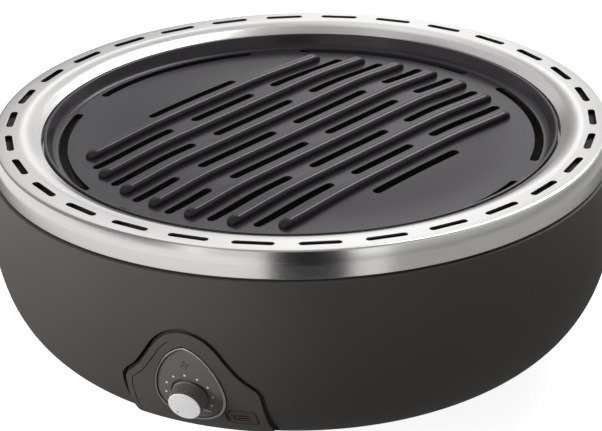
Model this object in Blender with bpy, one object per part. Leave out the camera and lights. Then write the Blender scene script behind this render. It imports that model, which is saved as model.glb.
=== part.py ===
"""Round table-top charcoal grill with a lift-out plate, a fan, a speed dial and a battery bay."""

import math

import bmesh
import bpy
from mathutils import Matrix, Vector

MM = 0.001

# Steps round the curved pieces
large_steps = 40
medium_steps = 24
small_steps = 10
knurl_steps = 36
hole_steps = 6

# Clearances
side_gap = 0.4 * MM
seat_gap = 0.3 * MM
overlap = 0.6 * MM
cut_past = 2.0 * MM
running_gap = 0.06 * MM
same_point = 0.003 * MM
flat_angle = math.radians(0.2)

# Steel collar
slot_circle_radius = 161.5 * MM
collar_outer_width = 8.5 * MM
collar_inner_width = 17.6 * MM
collar_mouth_drop = 3.6 * MM
collar_fall_width = 12.0 * MM
collar_band_flare = 1.8 * MM
collar_band_height = 15.8 * MM
collar_round = 1.6 * MM
collar_sheet = 0.8 * MM
collar_hem_height = 6.0 * MM
collar_ledge_width = 2.7 * MM
vent_slot_count = 30
vent_slot_length = 22.0 * MM
vent_slot_width = 4.0 * MM

# Outer housing
housing_lip = 1.5 * MM
housing_bulge = 5.4 * MM
housing_bulge_drop = 51.1 * MM
housing_turn_in = 0.8 * MM
housing_foot_margin = 3.6 * MM
housing_bottom_height = 9.9 * MM
housing_wall = 3.0 * MM
housing_samples = 7
housing_opening_margin = 8.0 * MM
spigot_height = 7.0 * MM
spigot_wall = 2.6 * MM

# Base cover
cover_radius = 88.0 * MM
cover_thickness = 2.6 * MM
intake_count = 10
intake_inner_radius = 10.0 * MM
intake_outer_radius = 25.0 * MM
intake_width = 3.0 * MM
screw_margin = 4.0 * MM
screw_angles = (30.0, 150.0, 210.0, 330.0)
screw_head_radius = 2.8 * MM
screw_head_height = 1.7 * MM
screw_shank_radius = 1.5 * MM
screw_length = 10.0 * MM
boss_radius = 3.6 * MM
boss_height = 8.0 * MM
foot_spacing = 102.0 * MM
foot_radius = 9.0 * MM
foot_stem_radius = 2.5 * MM
foot_stem_length = 5.5 * MM

# Control panel, measured along the belly from its centre line
panel_half_width = 40.2 * MM
panel_foot_margin = 14.1 * MM
panel_crown = 10.7 * MM
panel_outline_shares = (
    (0.0, 1.0), (0.12, 0.991), (0.28, 0.953), (0.39, 0.903), (0.48, 0.846), (0.567, 0.772),
    (0.736, 0.639), (0.905, 0.549), (0.965, 0.505), (0.993, 0.448), (1.0, 0.085), (0.97, 0.01), (0.93, 0.0),
)
panel_border = 5.0 * MM
panel_border_recess = 1.6 * MM
panel_back_depth = 5.8 * MM
panel_gap = 0.8 * MM
panel_swell = 4.0 * MM
panel_swell_height = 36.0 * MM
panel_swell_power = 1.4
panel_tab_length = 4.0 * MM
panel_tab_height = 8.0 * MM
panel_tab_thickness = 2.0 * MM
panel_tab_lift = 22.0 * MM
belly_pitch = 8.0 * MM
belly_halvings = 24

# Dial
dial_lift = 30.0 * MM
dial_half_width = 19.5 * MM
dial_above = 29.6 * MM
dial_points = 28
dial_round_across = 1.6
dial_round_up = 1.8
dial_ring_width = 1.3 * MM
dial_ring_proud = 0.7 * MM
dial_recess = 1.6 * MM
dial_plate_sink = 0.2 * MM

# Knob and speed control
knob_drop = 1.0 * MM
knob_tilt = 17.0
knob_base_radius = 9.6 * MM
knob_top_radius = 8.9 * MM
knob_length = 7.6 * MM
knob_lift = 0.7 * MM
knob_knurl_depth = 0.3 * MM
knob_cap_radius = 8.2 * MM
knob_cap_sink = 0.9 * MM
knob_cap_dome = 0.5 * MM
knob_hollow_radius = 6.2 * MM
knob_hollow_depth = 2.4 * MM
shaft_radius = 3.0 * MM
shaft_in_knob = 5.6 * MM
shaft_in_control = 3.4 * MM
bushing_radius = 4.2 * MM
nut_radius = 5.4 * MM
nut_thickness = 1.6 * MM
control_side = 14.0 * MM
control_depth = 6.4 * MM
control_clearance = 1.4 * MM
board_low = (-16.0 * MM, -16.5 * MM)
board_high = (30.5 * MM, 14.0 * MM)
board_thickness = 1.6 * MM
board_post_radius = 2.6 * MM
board_post_offset = (14.0 * MM, 10.5 * MM)
board_screw_radius = 1.0 * MM
board_screw_head_radius = 2.2 * MM
board_screw_head_height = 1.4 * MM
board_screw_length = 5.0 * MM

# Port and its cover
port_side_margin = 2.15 * MM
port_lift = 16.0 * MM
port_cover_width = 14.3 * MM
port_cover_height = 10.0 * MM
port_cover_corner = 1.6 * MM
port_cover_thickness = 1.7 * MM
port_cover_proud = 0.2 * MM
port_groove_width = 0.8 * MM
port_groove_depth = 0.7 * MM
port_groove_length_share = 0.52
port_groove_height_share = 0.42
port_hole_width = 10.0 * MM
port_hole_height = 4.8 * MM
socket_width = 9.2 * MM
socket_height = 4.0 * MM
socket_length = 4.6 * MM
socket_wall = 0.5 * MM

# Inner bowl
bowl_sheet = 0.8 * MM
bowl_floor_lift = 8.3 * MM
bowl_hole_radius = 33.0 * MM
bowl_lip_height = 7.0 * MM
bowl_floor_margin = 2.0 * MM
bowl_curve_shares = ((0.42, 0.1), (0.8, 0.4), (1.0, 0.9))

# Grill plate
plate_rim_gap = 1.0 * MM
plate_rim_height = 4.4 * MM
plate_rim_lip = 1.6 * MM
plate_wall_inset = 3.3 * MM
plate_floor_inset = 2.6 * MM
plate_floor_drop = 11.3 * MM
plate_floor_thickness = 3.0 * MM
plate_dome_height = 2.6 * MM
gutter_width = 15.0 * MM
plate_dome_shares = (0.6, 1.0)
rib_count = 7
rib_pitch = 23.7 * MM
rib_width = 7.6 * MM
rib_height = 5.5 * MM
rib_root = 1.5 * MM
rib_angle = 69.1
rib_section_shares = ((1.0, 0.0), (0.8, 0.7), (0.0, 1.0))
rib_end_shares = ((0.0, 0.35), (0.35, 0.78), (1.0, 1.0))
rib_stations = 4
floor_slot_width = 6.0 * MM
floor_slot_shares = (
    (0.5, ((0.066, 0.573), (0.706, 0.988))),
    (1.5, ((-0.265, 0.265), (0.397, 0.927))),
    (2.5, ((-0.207, 0.207), (0.339, 0.847))),
    (3.5, ((-0.291, 0.291),)),
)
arc_slot_inset = 4.6 * MM
arc_slot_width = 6.4 * MM
arc_slot_count = 6
arc_slot_gap_angle = 14.4
arc_slot_turn = 56.8
arc_slot_steps = 4

# Fuel tray, charcoal basket and its lid
tray_hole_gap = 4.0 * MM
tray_side_gap = 1.2 * MM
tray_height = 6.4 * MM
tray_flare = 1.0 * MM
tray_sheet = 0.8 * MM
basket_radius = 58.0 * MM
basket_sheet = 0.8 * MM
basket_height = 61.0 * MM
basket_headroom = 2.7 * MM
basket_floor_lift = 13.0 * MM
basket_rim_width = 2.0 * MM
basket_hole_radius = 3.0 * MM
basket_hole_ring_pitch = 20.0 * MM
basket_hole_counts = (1, 5, 8)
basket_slot_count = 8
basket_slot_width = 5.0 * MM
basket_slot_share = (0.35, 0.85)
skirt_slot_share = (0.04, 0.16)
lid_lip_inset = 0.6 * MM
lid_lip_height = 3.0 * MM
lid_hole_circle_radius = 36.0 * MM
lid_hole_count = 6
handle_stem_radius = 3.0 * MM
handle_radius = 7.0 * MM
handle_height = 9.0 * MM
handle_stem_share = 0.45

# Fan
guide_radius = 30.0 * MM
guide_wall = 1.8 * MM
guide_height = 37.0 * MM
motor_radius = 10.0 * MM
motor_length = 18.0 * MM
hub_wall = 2.2 * MM
hub_height = 12.0 * MM
hub_floor = 1.6 * MM
hub_hole_radius = 3.0 * MM
arm_width = 4.0 * MM
arm_count = 3
motor_shaft_radius = 1.0 * MM
motor_shaft_in = 5.0 * MM
impeller_lift = 5.0 * MM
impeller_clearance = 1.3 * MM
impeller_hub_radius = 6.0 * MM
impeller_hub_height = 5.0 * MM
blade_count = 7
blade_radius = 26.5 * MM
blade_chord = 10.0 * MM
blade_thickness = 1.2 * MM
blade_pitch = 34.0

# Battery bay
cell_radius = 7.1 * MM
cell_length = 49.2 * MM
cell_nub_radius = 2.7 * MM
cell_nub_length = 1.2 * MM
cell_gap = 0.5 * MM
bay_front_y = 40.5 * MM
bay_wall = 1.2 * MM
bay_contact_room = 3.0 * MM
contact_thickness = 0.5 * MM
contact_bump_radius = 2.4 * MM
door_half_width = 32.6 * MM
door_length = 38.0 * MM
door_thickness = 1.8 * MM
rail_wall = 2.6 * MM
rail_lip_width = 2.4 * MM
rail_lip_thickness = 1.2 * MM
rail_stop = 1.5 * MM
grip_count = 4
grip_width = 1.2 * MM
grip_depth = 0.5 * MM

# Radii that follow from the sizes above
collar_edge_radius = slot_circle_radius + collar_outer_width
collar_mouth_radius = slot_circle_radius - collar_inner_width
collar_band_radius = collar_edge_radius + collar_band_flare
housing_top_radius = collar_band_radius + housing_lip
housing_opening_radius = cover_radius - housing_opening_margin
screw_circle_radius = cover_radius - screw_margin
bowl_wall_radius = collar_mouth_radius - collar_ledge_width - side_gap
plate_rim_radius = collar_mouth_radius - plate_rim_gap
plate_wall_radius = plate_rim_radius - plate_wall_inset
plate_floor_radius = plate_wall_radius - plate_floor_inset
plate_dome_radius = plate_floor_radius - gutter_width
arc_slot_radius = plate_floor_radius - arc_slot_inset

bowl_floor_radius = basket_radius + bowl_floor_margin
tray_inner_radius = bowl_hole_radius + tray_hole_gap
tray_outer_radius = basket_radius - basket_sheet - tray_flare - tray_side_gap
port_arc = panel_half_width - panel_border - port_side_margin - port_cover_width / 2.0

# The underside and the battery bay, from the housing's foot up
cover_top_height = housing_bottom_height - seat_gap
cover_bottom_height = cover_top_height - cover_thickness
door_top_height = cover_bottom_height - seat_gap
door_bottom_height = door_top_height - door_thickness
rail_lip_top = door_bottom_height - seat_gap
rail_bottom = rail_lip_top - rail_lip_thickness
bay_low_z = cover_top_height + seat_gap
lower_cell_height = bay_low_z + cell_gap + cell_radius + bay_wall
upper_cell_height = lower_cell_height + 2.0 * cell_radius + cell_gap
front_cell_y = bay_front_y + bay_wall + cell_gap + cell_radius
rear_cell_y = front_cell_y + 2.0 * cell_radius + cell_gap
bay_rear_y = rear_cell_y + cell_radius + cell_gap + bay_wall
bay_top_z = upper_cell_height + cell_radius + cell_gap + bay_wall
bay_half_width = cell_length / 2.0 + bay_contact_room + bay_wall
impeller_height = cover_top_height + impeller_lift
motor_seat_height = impeller_height + impeller_hub_height / 2.0 + impeller_clearance + hub_floor

# The stack from the bowl's floor up to the collar
bowl_floor_height = bay_top_z + bowl_floor_lift
basket_bottom_height = bowl_floor_height + bowl_sheet + seat_gap
basket_top_height = basket_bottom_height + basket_height
lid_bottom_height = basket_top_height + seat_gap
lid_top_height = lid_bottom_height + basket_sheet
plate_floor_height = lid_top_height + seat_gap + handle_height + basket_headroom + plate_floor_thickness
collar_top_height = plate_floor_height + plate_floor_drop
collar_mouth_height = collar_top_height - collar_mouth_drop
collar_ledge_height = collar_mouth_height - collar_hem_height
housing_top_height = collar_top_height - collar_band_height - seat_gap
bowl_rim_height = collar_ledge_height + seat_gap
plate_rim_bottom = bowl_rim_height + bowl_sheet + seat_gap

# The control panel, from the housing's foot up
panel_bottom_height = housing_bottom_height + panel_foot_margin
dial_height = panel_bottom_height + dial_lift
panel_top_height = dial_height + dial_above + panel_crown
panel_swell_top_height = panel_bottom_height + panel_swell_height
panel_tab_level = panel_bottom_height + panel_tab_lift
knob_height = dial_height - knob_drop
port_height = panel_bottom_height + port_lift


def clear_scene():
    """Start from nothing."""
    for item in list(bpy.data.objects):
        bpy.data.objects.remove(item, do_unlink=True)


def make_object(name, work):
    """Turn an edited mesh into a linked object with outward faces."""
    bmesh.ops.recalc_face_normals(work, faces=work.faces)
    mesh = bpy.data.meshes.new(name)
    work.to_mesh(mesh)
    work.free()
    item = bpy.data.objects.new(name, mesh)
    bpy.context.collection.objects.link(item)
    return item


def turned(name, section, steps, ripple=0.0):
    """Body of revolution about Z; a point on the axis becomes one vertex."""
    work = bmesh.new()
    rings = []
    for radius, height in section:
        if radius == 0.0:
            rings.append([work.verts.new((0.0, 0.0, height))])
            continue
        ring = []
        for step in range(steps):
            angle = 2.0 * math.pi * step / steps
            reach = radius - ripple * (step % 2)
            ring.append(work.verts.new((reach * math.cos(angle), reach * math.sin(angle), height)))
        rings.append(ring)
    for index, ring in enumerate(rings):
        following = rings[(index + 1) % len(rings)]
        if len(ring) == 1 and len(following) == 1:
            continue
        for step in range(steps):
            corners = [ring[step % len(ring)], ring[(step + 1) % len(ring)]]
            corners += [following[(step + 1) % len(following)], following[step % len(following)]]
            work.faces.new(list(dict.fromkeys(corners)))
    return make_object(name, work)


def extruded(name, outline, low, high):
    """Upright body with the given plan outline."""
    work = bmesh.new()
    bottom = [work.verts.new((x, y, low)) for x, y in outline]
    top = [work.verts.new((x, y, high)) for x, y in outline]
    work.faces.new(bottom)
    work.faces.new(top)
    for index in range(len(outline)):
        after = (index + 1) % len(outline)
        work.faces.new((bottom[index], bottom[after], top[after], top[index]))
    return make_object(name, work)


def block(name, low, high):
    """Box between two corners."""
    outline = [(low[0], low[1]), (high[0], low[1]), (high[0], high[1]), (low[0], high[1])]
    return extruded(name, outline, low[2], high[2])


def rod(name, radius, low, high, steps=small_steps):
    """Solid cylinder on the Z axis."""
    return turned(name, [(0.0, low), (radius, low), (radius, high), (0.0, high)], steps)


def place(item, matrix):
    """Move the mesh itself, so the object stays at the origin."""
    item.data.transform(matrix)
    item.data.update()
    return item


def shifted(item, x, y, z=0.0):
    """Slide the mesh."""
    return place(item, Matrix.Translation((x, y, z)))


def spun(item, angle):
    """Turn the mesh about Z by degrees."""
    return place(item, Matrix.Rotation(math.radians(angle), 4, 'Z'))


def gathered(name, items):
    """Put several separate solids into one object."""
    work = bmesh.new()
    for item in items:
        work.from_mesh(item.data)
        bpy.data.objects.remove(item, do_unlink=True)
    return make_object(name, work)


def shaped(item, tool, operation):
    """Run one exact Boolean and keep its result as the mesh."""
    modifier = item.modifiers.new("shape", 'BOOLEAN')
    modifier.operation = operation
    modifier.solver = 'EXACT'
    modifier.object = tool
    bpy.context.view_layer.update()
    graph = bpy.context.evaluated_depsgraph_get()
    result = bpy.data.meshes.new_from_object(item.evaluated_get(graph))
    item.modifiers.clear()
    item.data = result
    bpy.data.objects.remove(tool, do_unlink=True)
    return item


def cut(item, tool):
    """Take the tool away from the item."""
    return shaped(item, tool, 'DIFFERENCE')


def joined(item, tool):
    """Add the tool to the item."""
    return shaped(item, tool, 'UNION')


def sheet_section(path, thickness):
    """Closed section of a sheet to the left of a path, or to its right when negative."""
    offset = []
    for index, point in enumerate(path):
        here = Vector(point)
        before = Vector(path[max(index - 1, 0)])
        after = Vector(path[min(index + 1, len(path) - 1)])
        incoming = (here - before).normalized() if index else (after - here).normalized()
        outgoing = (after - here).normalized() if index < len(path) - 1 else incoming
        first = Vector((-incoming.y, incoming.x))
        second = Vector((-outgoing.y, outgoing.x))
        bisector = (first + second).normalized()
        reach = thickness / bisector.dot(first)
        moved = here + bisector * reach
        offset.append((moved.x, moved.y))
    return list(path) + offset[::-1]


def belly_at(share):
    """Radius and height of the belly at a share of its curve, from the rim down."""
    corners = (
        (housing_top_radius, housing_top_height),
        (housing_top_radius + housing_bulge, housing_top_height - housing_bulge_drop),
        (housing_top_radius + housing_turn_in, housing_bottom_height),
        (cover_radius + housing_foot_margin, housing_bottom_height),
    )
    rest = 1.0 - share
    weights = (rest ** 3, 3.0 * rest * rest * share, 3.0 * rest * share * share, share ** 3)
    radius = sum(weight * corner[0] for weight, corner in zip(weights, corners))
    height = sum(weight * corner[1] for weight, corner in zip(weights, corners))
    return radius, height


def belly_radius(height):
    """Outer radius of the housing at a height, found by halving the curve."""
    low, high = 0.0, 1.0
    for _ in range(belly_halvings):
        middle = (low + high) / 2.0
        if belly_at(middle)[1] > height:
            low = middle
        else:
            high = middle
    return belly_at((low + high) / 2.0)[0]


def swell(height):
    """How far the control panel's face stands out of the belly."""
    drop = max(0.0, panel_swell_top_height - height)
    share = drop / (panel_swell_top_height - panel_bottom_height)
    return panel_swell * share ** panel_swell_power


def belly_point(arc, height, depth):
    """Point on the belly at an arc length from the panel's centre line."""
    radius = belly_radius(height)
    angle = arc / radius
    reach = radius + depth
    return Vector((reach * math.sin(angle), -reach * math.cos(angle), height))


def belly_solid(name, rings, depths, closed=False):
    """Solid that follows the belly through rings of (outline, number of its depth rule)."""
    work = bmesh.new()
    loops = []
    for outline, level in rings:
        loops.append([work.verts.new((arc, level, height)) for arc, height in outline])
    pairs = list(zip(loops, loops[1:]))
    if closed:
        pairs.append((loops[-1], loops[0]))
    for loop, following in pairs:
        for index in range(len(loop)):
            after = (index + 1) % len(loop)
            work.faces.new((loop[index], loop[after], following[after], following[index]))
    if not closed:
        caps = [work.faces.new(loops[0]), work.faces.new(loops[-1])]
        bmesh.ops.triangulate(work, faces=caps)
    slice_grid(work, rings[0][0])
    bmesh.ops.triangulate(work, faces=work.faces)
    for vertex in work.verts:
        arc, level, height = vertex.co
        vertex.co = belly_point(arc, height, depths[round(level)](height))
    return make_object(name, work)


def belly_prism(name, outline, back, front):
    """Solid with one outline between two depth rules."""
    return belly_solid(name, [(outline, 0), (outline, 1)], [back, front])


def slice_grid(work, outline):
    """Split the flat solid into cells small enough to bend."""
    lines = []
    for axis, normal in ((0, Vector((1.0, 0.0, 0.0))), (1, Vector((0.0, 0.0, 1.0)))):
        low = min(point[axis] for point in outline)
        high = max(point[axis] for point in outline)
        count = math.ceil((high - low) / belly_pitch)
        for index in range(1, count):
            everything = work.verts[:] + work.edges[:] + work.faces[:]
            where = low + (high - low) * index / count
            lines.append((2 * axis, where))
            point = normal * where
            bmesh.ops.bisect_plane(work, geom=everything, plane_co=point, plane_no=normal, dist=same_point)
    work.normal_update()
    spare = [edge for edge in work.edges if inside_a_cell(edge, lines)]
    bmesh.ops.dissolve_edges(work, edges=spare, use_verts=True)


def inside_a_cell(edge, lines):
    """Tell whether an edge only joins two flat pieces of one grid cell."""
    if any(abs(face.normal.y) < 0.5 for face in edge.link_faces):
        return False
    for axis, where in lines:
        if all(abs(vertex.co[axis] - where) < same_point for vertex in edge.verts):
            return False
    return True


def grown(outline, distance):
    """Outline moved outward by a distance, or inward when negative."""
    area = sum(a[0] * b[1] - b[0] * a[1] for a, b in zip(outline, outline[1:] + outline[:1]))
    sign = 1.0 if area > 0.0 else -1.0
    moved = []
    for index, point in enumerate(outline):
        here = Vector(point)
        before = Vector(outline[index - 1])
        after = Vector(outline[(index + 1) % len(outline)])
        first = (here - before).normalized()
        second = (after - here).normalized()
        first_normal = Vector((first.y, -first.x)) * sign
        second_normal = Vector((second.y, -second.x)) * sign
        bisector = (first_normal + second_normal).normalized()
        out = here + bisector * (distance / max(bisector.dot(first_normal), 0.5))
        moved.append((out.x, out.y))
    return moved


def panel_outline():
    """Mountain-shaped outline of the panel in arc and height."""
    rise = panel_top_height - panel_bottom_height
    right = [(share * panel_half_width, panel_bottom_height + up * rise) for share, up in panel_outline_shares]
    left = [(-arc, height) for arc, height in right[:0:-1]]
    return right + left


def dial_outline(inset):
    """Egg outline of the dial, moved inward by an inset."""
    points = []
    for index in range(dial_points):
        angle = 2.0 * math.pi * index / dial_points
        across, up = math.cos(angle), math.sin(angle)
        if up > 0.0:
            arc = math.copysign(abs(across) ** (2.0 / dial_round_across), across)
            rise = up ** (2.0 / dial_round_up) * (dial_above - inset)
        else:
            arc = across
            rise = up * (dial_half_width - inset)
        points.append((arc * (dial_half_width - inset), dial_height + rise))
    return points


def rounded_box(width, height, corner, steps=3):
    """Rectangle outline with round corners about the origin."""
    points = []
    for quarter in range(4):
        side_x = 1.0 if quarter in (0, 3) else -1.0
        side_y = 1.0 if quarter in (0, 1) else -1.0
        for step in range(steps + 1):
            angle = (quarter + step / steps) * math.pi / 2.0
            x = side_x * (width / 2.0 - corner) + corner * math.cos(angle)
            y = side_y * (height / 2.0 - corner) + corner * math.sin(angle)
            points.append((x, y))
    return points


def slot_outline(start, end, width, steps=2):
    """Round-ended slot along X."""
    half = width / 2.0
    points = []
    for middle, turn in ((end - half, -90.0), (start + half, 90.0)):
        for step in range(steps + 1):
            angle = math.radians(turn + 180.0 * step / steps)
            points.append((middle + half * math.cos(angle), half * math.sin(angle)))
    return points


def build_collar():
    """Steel ring with vent slots, a turned-down band and a hem with a ledge for the bowl."""
    edge = collar_edge_radius
    band_step = collar_band_radius - edge - collar_round / 2.0
    path = [
        (collar_mouth_radius - collar_ledge_width, collar_ledge_height),
        (collar_mouth_radius, collar_ledge_height),
        (collar_mouth_radius, collar_mouth_height),
        (collar_mouth_radius + collar_fall_width / 2.0, collar_top_height - collar_mouth_drop * 0.28),
        (edge - collar_round, collar_top_height),
        (edge, collar_top_height - collar_round * 0.35),
        (edge + collar_round / 2.0, collar_top_height - collar_round),
        (edge + collar_round / 2.0 + band_step * 0.2, collar_top_height - collar_round * 2.0),
        (collar_band_radius, collar_top_height - collar_band_height),
    ]
    collar = turned("steel_collar", sheet_section(path, -collar_sheet), large_steps)
    cutters = []
    half = vent_slot_length / 2.0
    for index in range(vent_slot_count):
        outline = slot_outline(-half, half, vent_slot_width)
        low = collar_top_height - collar_sheet - cut_past
        slot = extruded("slot", outline, low, collar_top_height + cut_past)
        place(slot, Matrix.Rotation(math.radians(90.0), 4, 'Z'))
        shifted(slot, slot_circle_radius, 0.0)
        cutters.append(spun(slot, -90.0 + 360.0 * index / vent_slot_count))
    return cut(collar, gathered("slots", cutters))


def build_housing():
    """Plastic belly with a spigot for the collar, a window for the panel and screw bosses."""
    belly = [belly_at(sample / housing_samples) for sample in range(housing_samples + 1)]
    bend = sheet_section(belly, -housing_wall)[len(belly):]
    inner_floor = housing_bottom_height + housing_wall
    spigot_radius = collar_band_radius - collar_sheet - side_gap * 2.0
    spigot_radius -= (collar_band_radius - collar_edge_radius) / 2.0
    spigot_inner = spigot_radius - spigot_wall
    spigot_top = housing_top_height + spigot_height
    inside = [point for point in bend if point[1] < housing_top_height - housing_wall]
    section = list(belly)
    section += [(housing_opening_radius, housing_bottom_height), (housing_opening_radius, inner_floor)]
    section += inside
    section += [(spigot_inner, housing_top_height - housing_wall), (spigot_inner, spigot_top)]
    section += [(spigot_radius, spigot_top), (spigot_radius, housing_top_height)]
    housing = turned("outer_housing", section, large_steps)
    through = panel_back_depth * 2.0
    window = belly_prism("window", panel_outline(), lambda z: -through, lambda z: through)
    cut(housing, window)
    for angle in screw_angles:
        boss = rod("boss", boss_radius, inner_floor - overlap, inner_floor + boss_height)
        joined(housing, spun(shifted(boss, screw_circle_radius, 0.0), angle))
    holes = []
    for angle in screw_angles:
        low, top = housing_bottom_height - cut_past, inner_floor + boss_height / 2.0
        hole = rod("hole", screw_shank_radius + side_gap, low, top)
        holes.append(spun(shifted(hole, screw_circle_radius, 0.0), angle))
    return cut(housing, gathered("holes", holes))


def build_panel():
    """Mountain-shaped moulding with a raised face, a dial recess and a port recess."""
    edge = grown(panel_outline(), -panel_gap)
    face = grown(panel_outline(), -panel_border)
    rings = [(edge, 0), (edge, 1), (face, 1), (face, 2)]
    depths = [lambda z: -panel_back_depth, lambda z: -panel_border_recess, swell]
    panel = belly_solid("control_panel", rings, depths)
    for side in (-1.0, 1.0):
        inner_arc = side * (panel_half_width - panel_border)
        outer_arc = side * (panel_half_width + panel_tab_length)
        low, high = panel_tab_level, panel_tab_level + panel_tab_height
        outline = [(inner_arc, low), (outer_arc, low), (outer_arc, high), (inner_arc, high)]
        front_depth = -panel_back_depth + panel_tab_thickness / 3.0
        tab = belly_prism("tab", outline, lambda z: front_depth - panel_tab_thickness, lambda z: front_depth)
        joined(panel, tab)
    dial = dial_outline(-side_gap)
    pocket = belly_prism("pocket", dial, lambda z: swell(z) - dial_recess, lambda z: swell(z) + cut_past)
    cut(panel, pocket)
    for offset in board_post_places():
        post = rod("post", board_post_radius, board_front_depth() + seat_gap, -panel_back_depth + overlap * 2.0)
        joined(panel, dial_placed(shifted(post, *offset)))
    tools = [dial_placed(rod("hole", bushing_radius + side_gap, -panel_back_depth * 2.0, cut_past))]
    for offset in board_post_places():
        depth = board_front_depth() + board_screw_length + cut_past / 2.0
        bore = rod("bore", board_screw_radius + side_gap, board_front_depth() - cut_past, depth)
        tools.append(dial_placed(shifted(bore, *offset)))
    cut(panel, gathered("holes", tools))
    cut(panel, dial_placed(rod("seat", nut_radius + side_gap, nut_depth() - seat_gap, cut_past, medium_steps)))
    cover = [(port_arc + x, port_height + y) for x, y in cover_outline(side_gap)]
    floor_depth = port_cover_thickness - port_cover_proud + seat_gap
    recess = belly_prism("recess", cover, lambda z: swell(z) - floor_depth, lambda z: swell(z) + cut_past)
    cut(panel, recess)
    x, y = port_place()
    low = (x - port_hole_width / 2.0, y - port_hole_height / 2.0, -panel_back_depth * 3.0)
    high = (x + port_hole_width / 2.0, y + port_hole_height / 2.0, cut_past)
    return cut(panel, dial_placed(block("port", low, high)))


def dial_matrix():
    """Frame at the knob: X to the right, Y up the panel, Z out of it."""
    tilt = math.radians(knob_tilt)
    reach = belly_radius(knob_height) + swell(knob_height) - dial_plate_sink
    right = Vector((1.0, 0.0, 0.0))
    out = Vector((0.0, -math.cos(tilt), -math.sin(tilt)))
    up = Vector((0.0, -math.sin(tilt), math.cos(tilt)))
    rows = [(right[i], up[i], out[i], (0.0, -reach, knob_height)[i]) for i in range(3)]
    return Matrix(rows + [(0.0, 0.0, 0.0, 1.0)])


def dial_placed(item):
    """Put a piece made in the knob's frame where it belongs."""
    return place(item, dial_matrix())


def nut_depth():
    """Depth of the control nut's underside behind the dial plate."""
    return -dial_recess + dial_plate_sink + seat_gap


def board_front_depth():
    """Depth of the board's front face behind the dial plate."""
    return -panel_back_depth - control_clearance - control_depth - seat_gap


def board_post_places():
    """Centres of the two board posts in the knob's frame."""
    return ((-board_post_offset[0], board_post_offset[1]), (board_post_offset[0], board_post_offset[1]))


def port_place():
    """Centre of the port in the knob's frame."""
    centre = belly_point(port_arc, port_height, 0.0)
    local = dial_matrix().inverted() @ centre
    return local.x, local.y


def cover_outline(gap):
    """Outline of the port cover, grown by a gap."""
    return rounded_box(port_cover_width + 2.0 * gap, port_cover_height + 2.0 * gap, port_cover_corner + gap)


def build_dial():
    """Egg-shaped dial plate and the bright ring round it."""
    outer, inner = dial_outline(0.0), dial_outline(dial_ring_width)
    depths = [lambda z: swell(z) - dial_recess + seat_gap, lambda z: swell(z) + dial_ring_proud]
    ring = belly_solid("dial_ring", [(outer, 0), (outer, 1), (inner, 1), (inner, 0)], depths, closed=True)
    outline = dial_outline(dial_ring_width + seat_gap)
    plate = belly_prism("dial_plate", outline, depths[0], lambda z: swell(z) - dial_plate_sink)
    hole = dial_placed(rod("hole", nut_radius + side_gap, -panel_back_depth, cut_past, small_steps + 4))
    return ring, cut(plate, hole)


def build_knob():
    """Knurled knob, its bright cap and its shaft."""
    top = knob_lift + knob_length
    cap_floor = top - knob_cap_sink
    bore_top = knob_lift + shaft_in_knob
    hollow_top = knob_lift + knob_hollow_depth
    bore = shaft_radius + running_gap
    section = [
        (knob_hollow_radius, knob_lift), (knob_base_radius, knob_lift),
        (knob_top_radius, top), (knob_cap_radius + side_gap, top), (knob_cap_radius + side_gap, cap_floor),
        (0.0, cap_floor), (0.0, bore_top), (bore, bore_top), (bore, hollow_top),
        (knob_hollow_radius, hollow_top),
    ]
    knob = turned("knob_body", section, knurl_steps)
    for vertex in knob.data.vertices:
        radius = math.hypot(vertex.co.x, vertex.co.y)
        step = round(math.atan2(vertex.co.y, vertex.co.x) / (2.0 * math.pi) * knurl_steps)
        outer = radius > knob_top_radius - running_gap
        if outer and step % 2:
            share = (radius - knob_knurl_depth) / radius
            vertex.co.x *= share
            vertex.co.y *= share
    cap_section = [(0.0, cap_floor + seat_gap), (knob_cap_radius, cap_floor + seat_gap)]
    cap_section += [(knob_cap_radius, top), (knob_cap_radius * 0.9, top + knob_cap_dome * 0.6)]
    cap_section.append((0.0, top + knob_cap_dome))
    cap = turned("knob_cap", cap_section, medium_steps)
    shaft_low = -panel_back_depth + cut_past / 2.0 - shaft_in_control
    shaft = rod("knob_shaft", shaft_radius, shaft_low, bore_top - seat_gap, medium_steps)
    return [dial_placed(item) for item in (knob, cap, shaft)]


def build_speed_control():
    """Potentiometer with its bushing, and the nut that holds it."""
    front = -panel_back_depth - control_clearance
    half = control_side / 2.0
    body = block("speed_control", (-half, -half, front - control_depth), (half, half, front))
    nut_base = nut_depth()
    bushing = rod("bushing", bushing_radius, front - overlap, nut_base + nut_thickness, medium_steps)
    joined(body, bushing)
    well_floor = -panel_back_depth + cut_past / 2.0 - shaft_in_control - seat_gap
    cut(body, rod("well", shaft_radius + running_gap, well_floor, cut_past * 2.0, medium_steps))
    nut_top, nut_bore = nut_base + nut_thickness, bushing_radius + side_gap / 2.0
    section = [(nut_bore, nut_base), (nut_radius, nut_base), (nut_radius, nut_top), (nut_bore, nut_top)]
    nut = turned("control_nut", section, 6 * 4)
    return dial_placed(body), dial_placed(nut)


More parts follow.
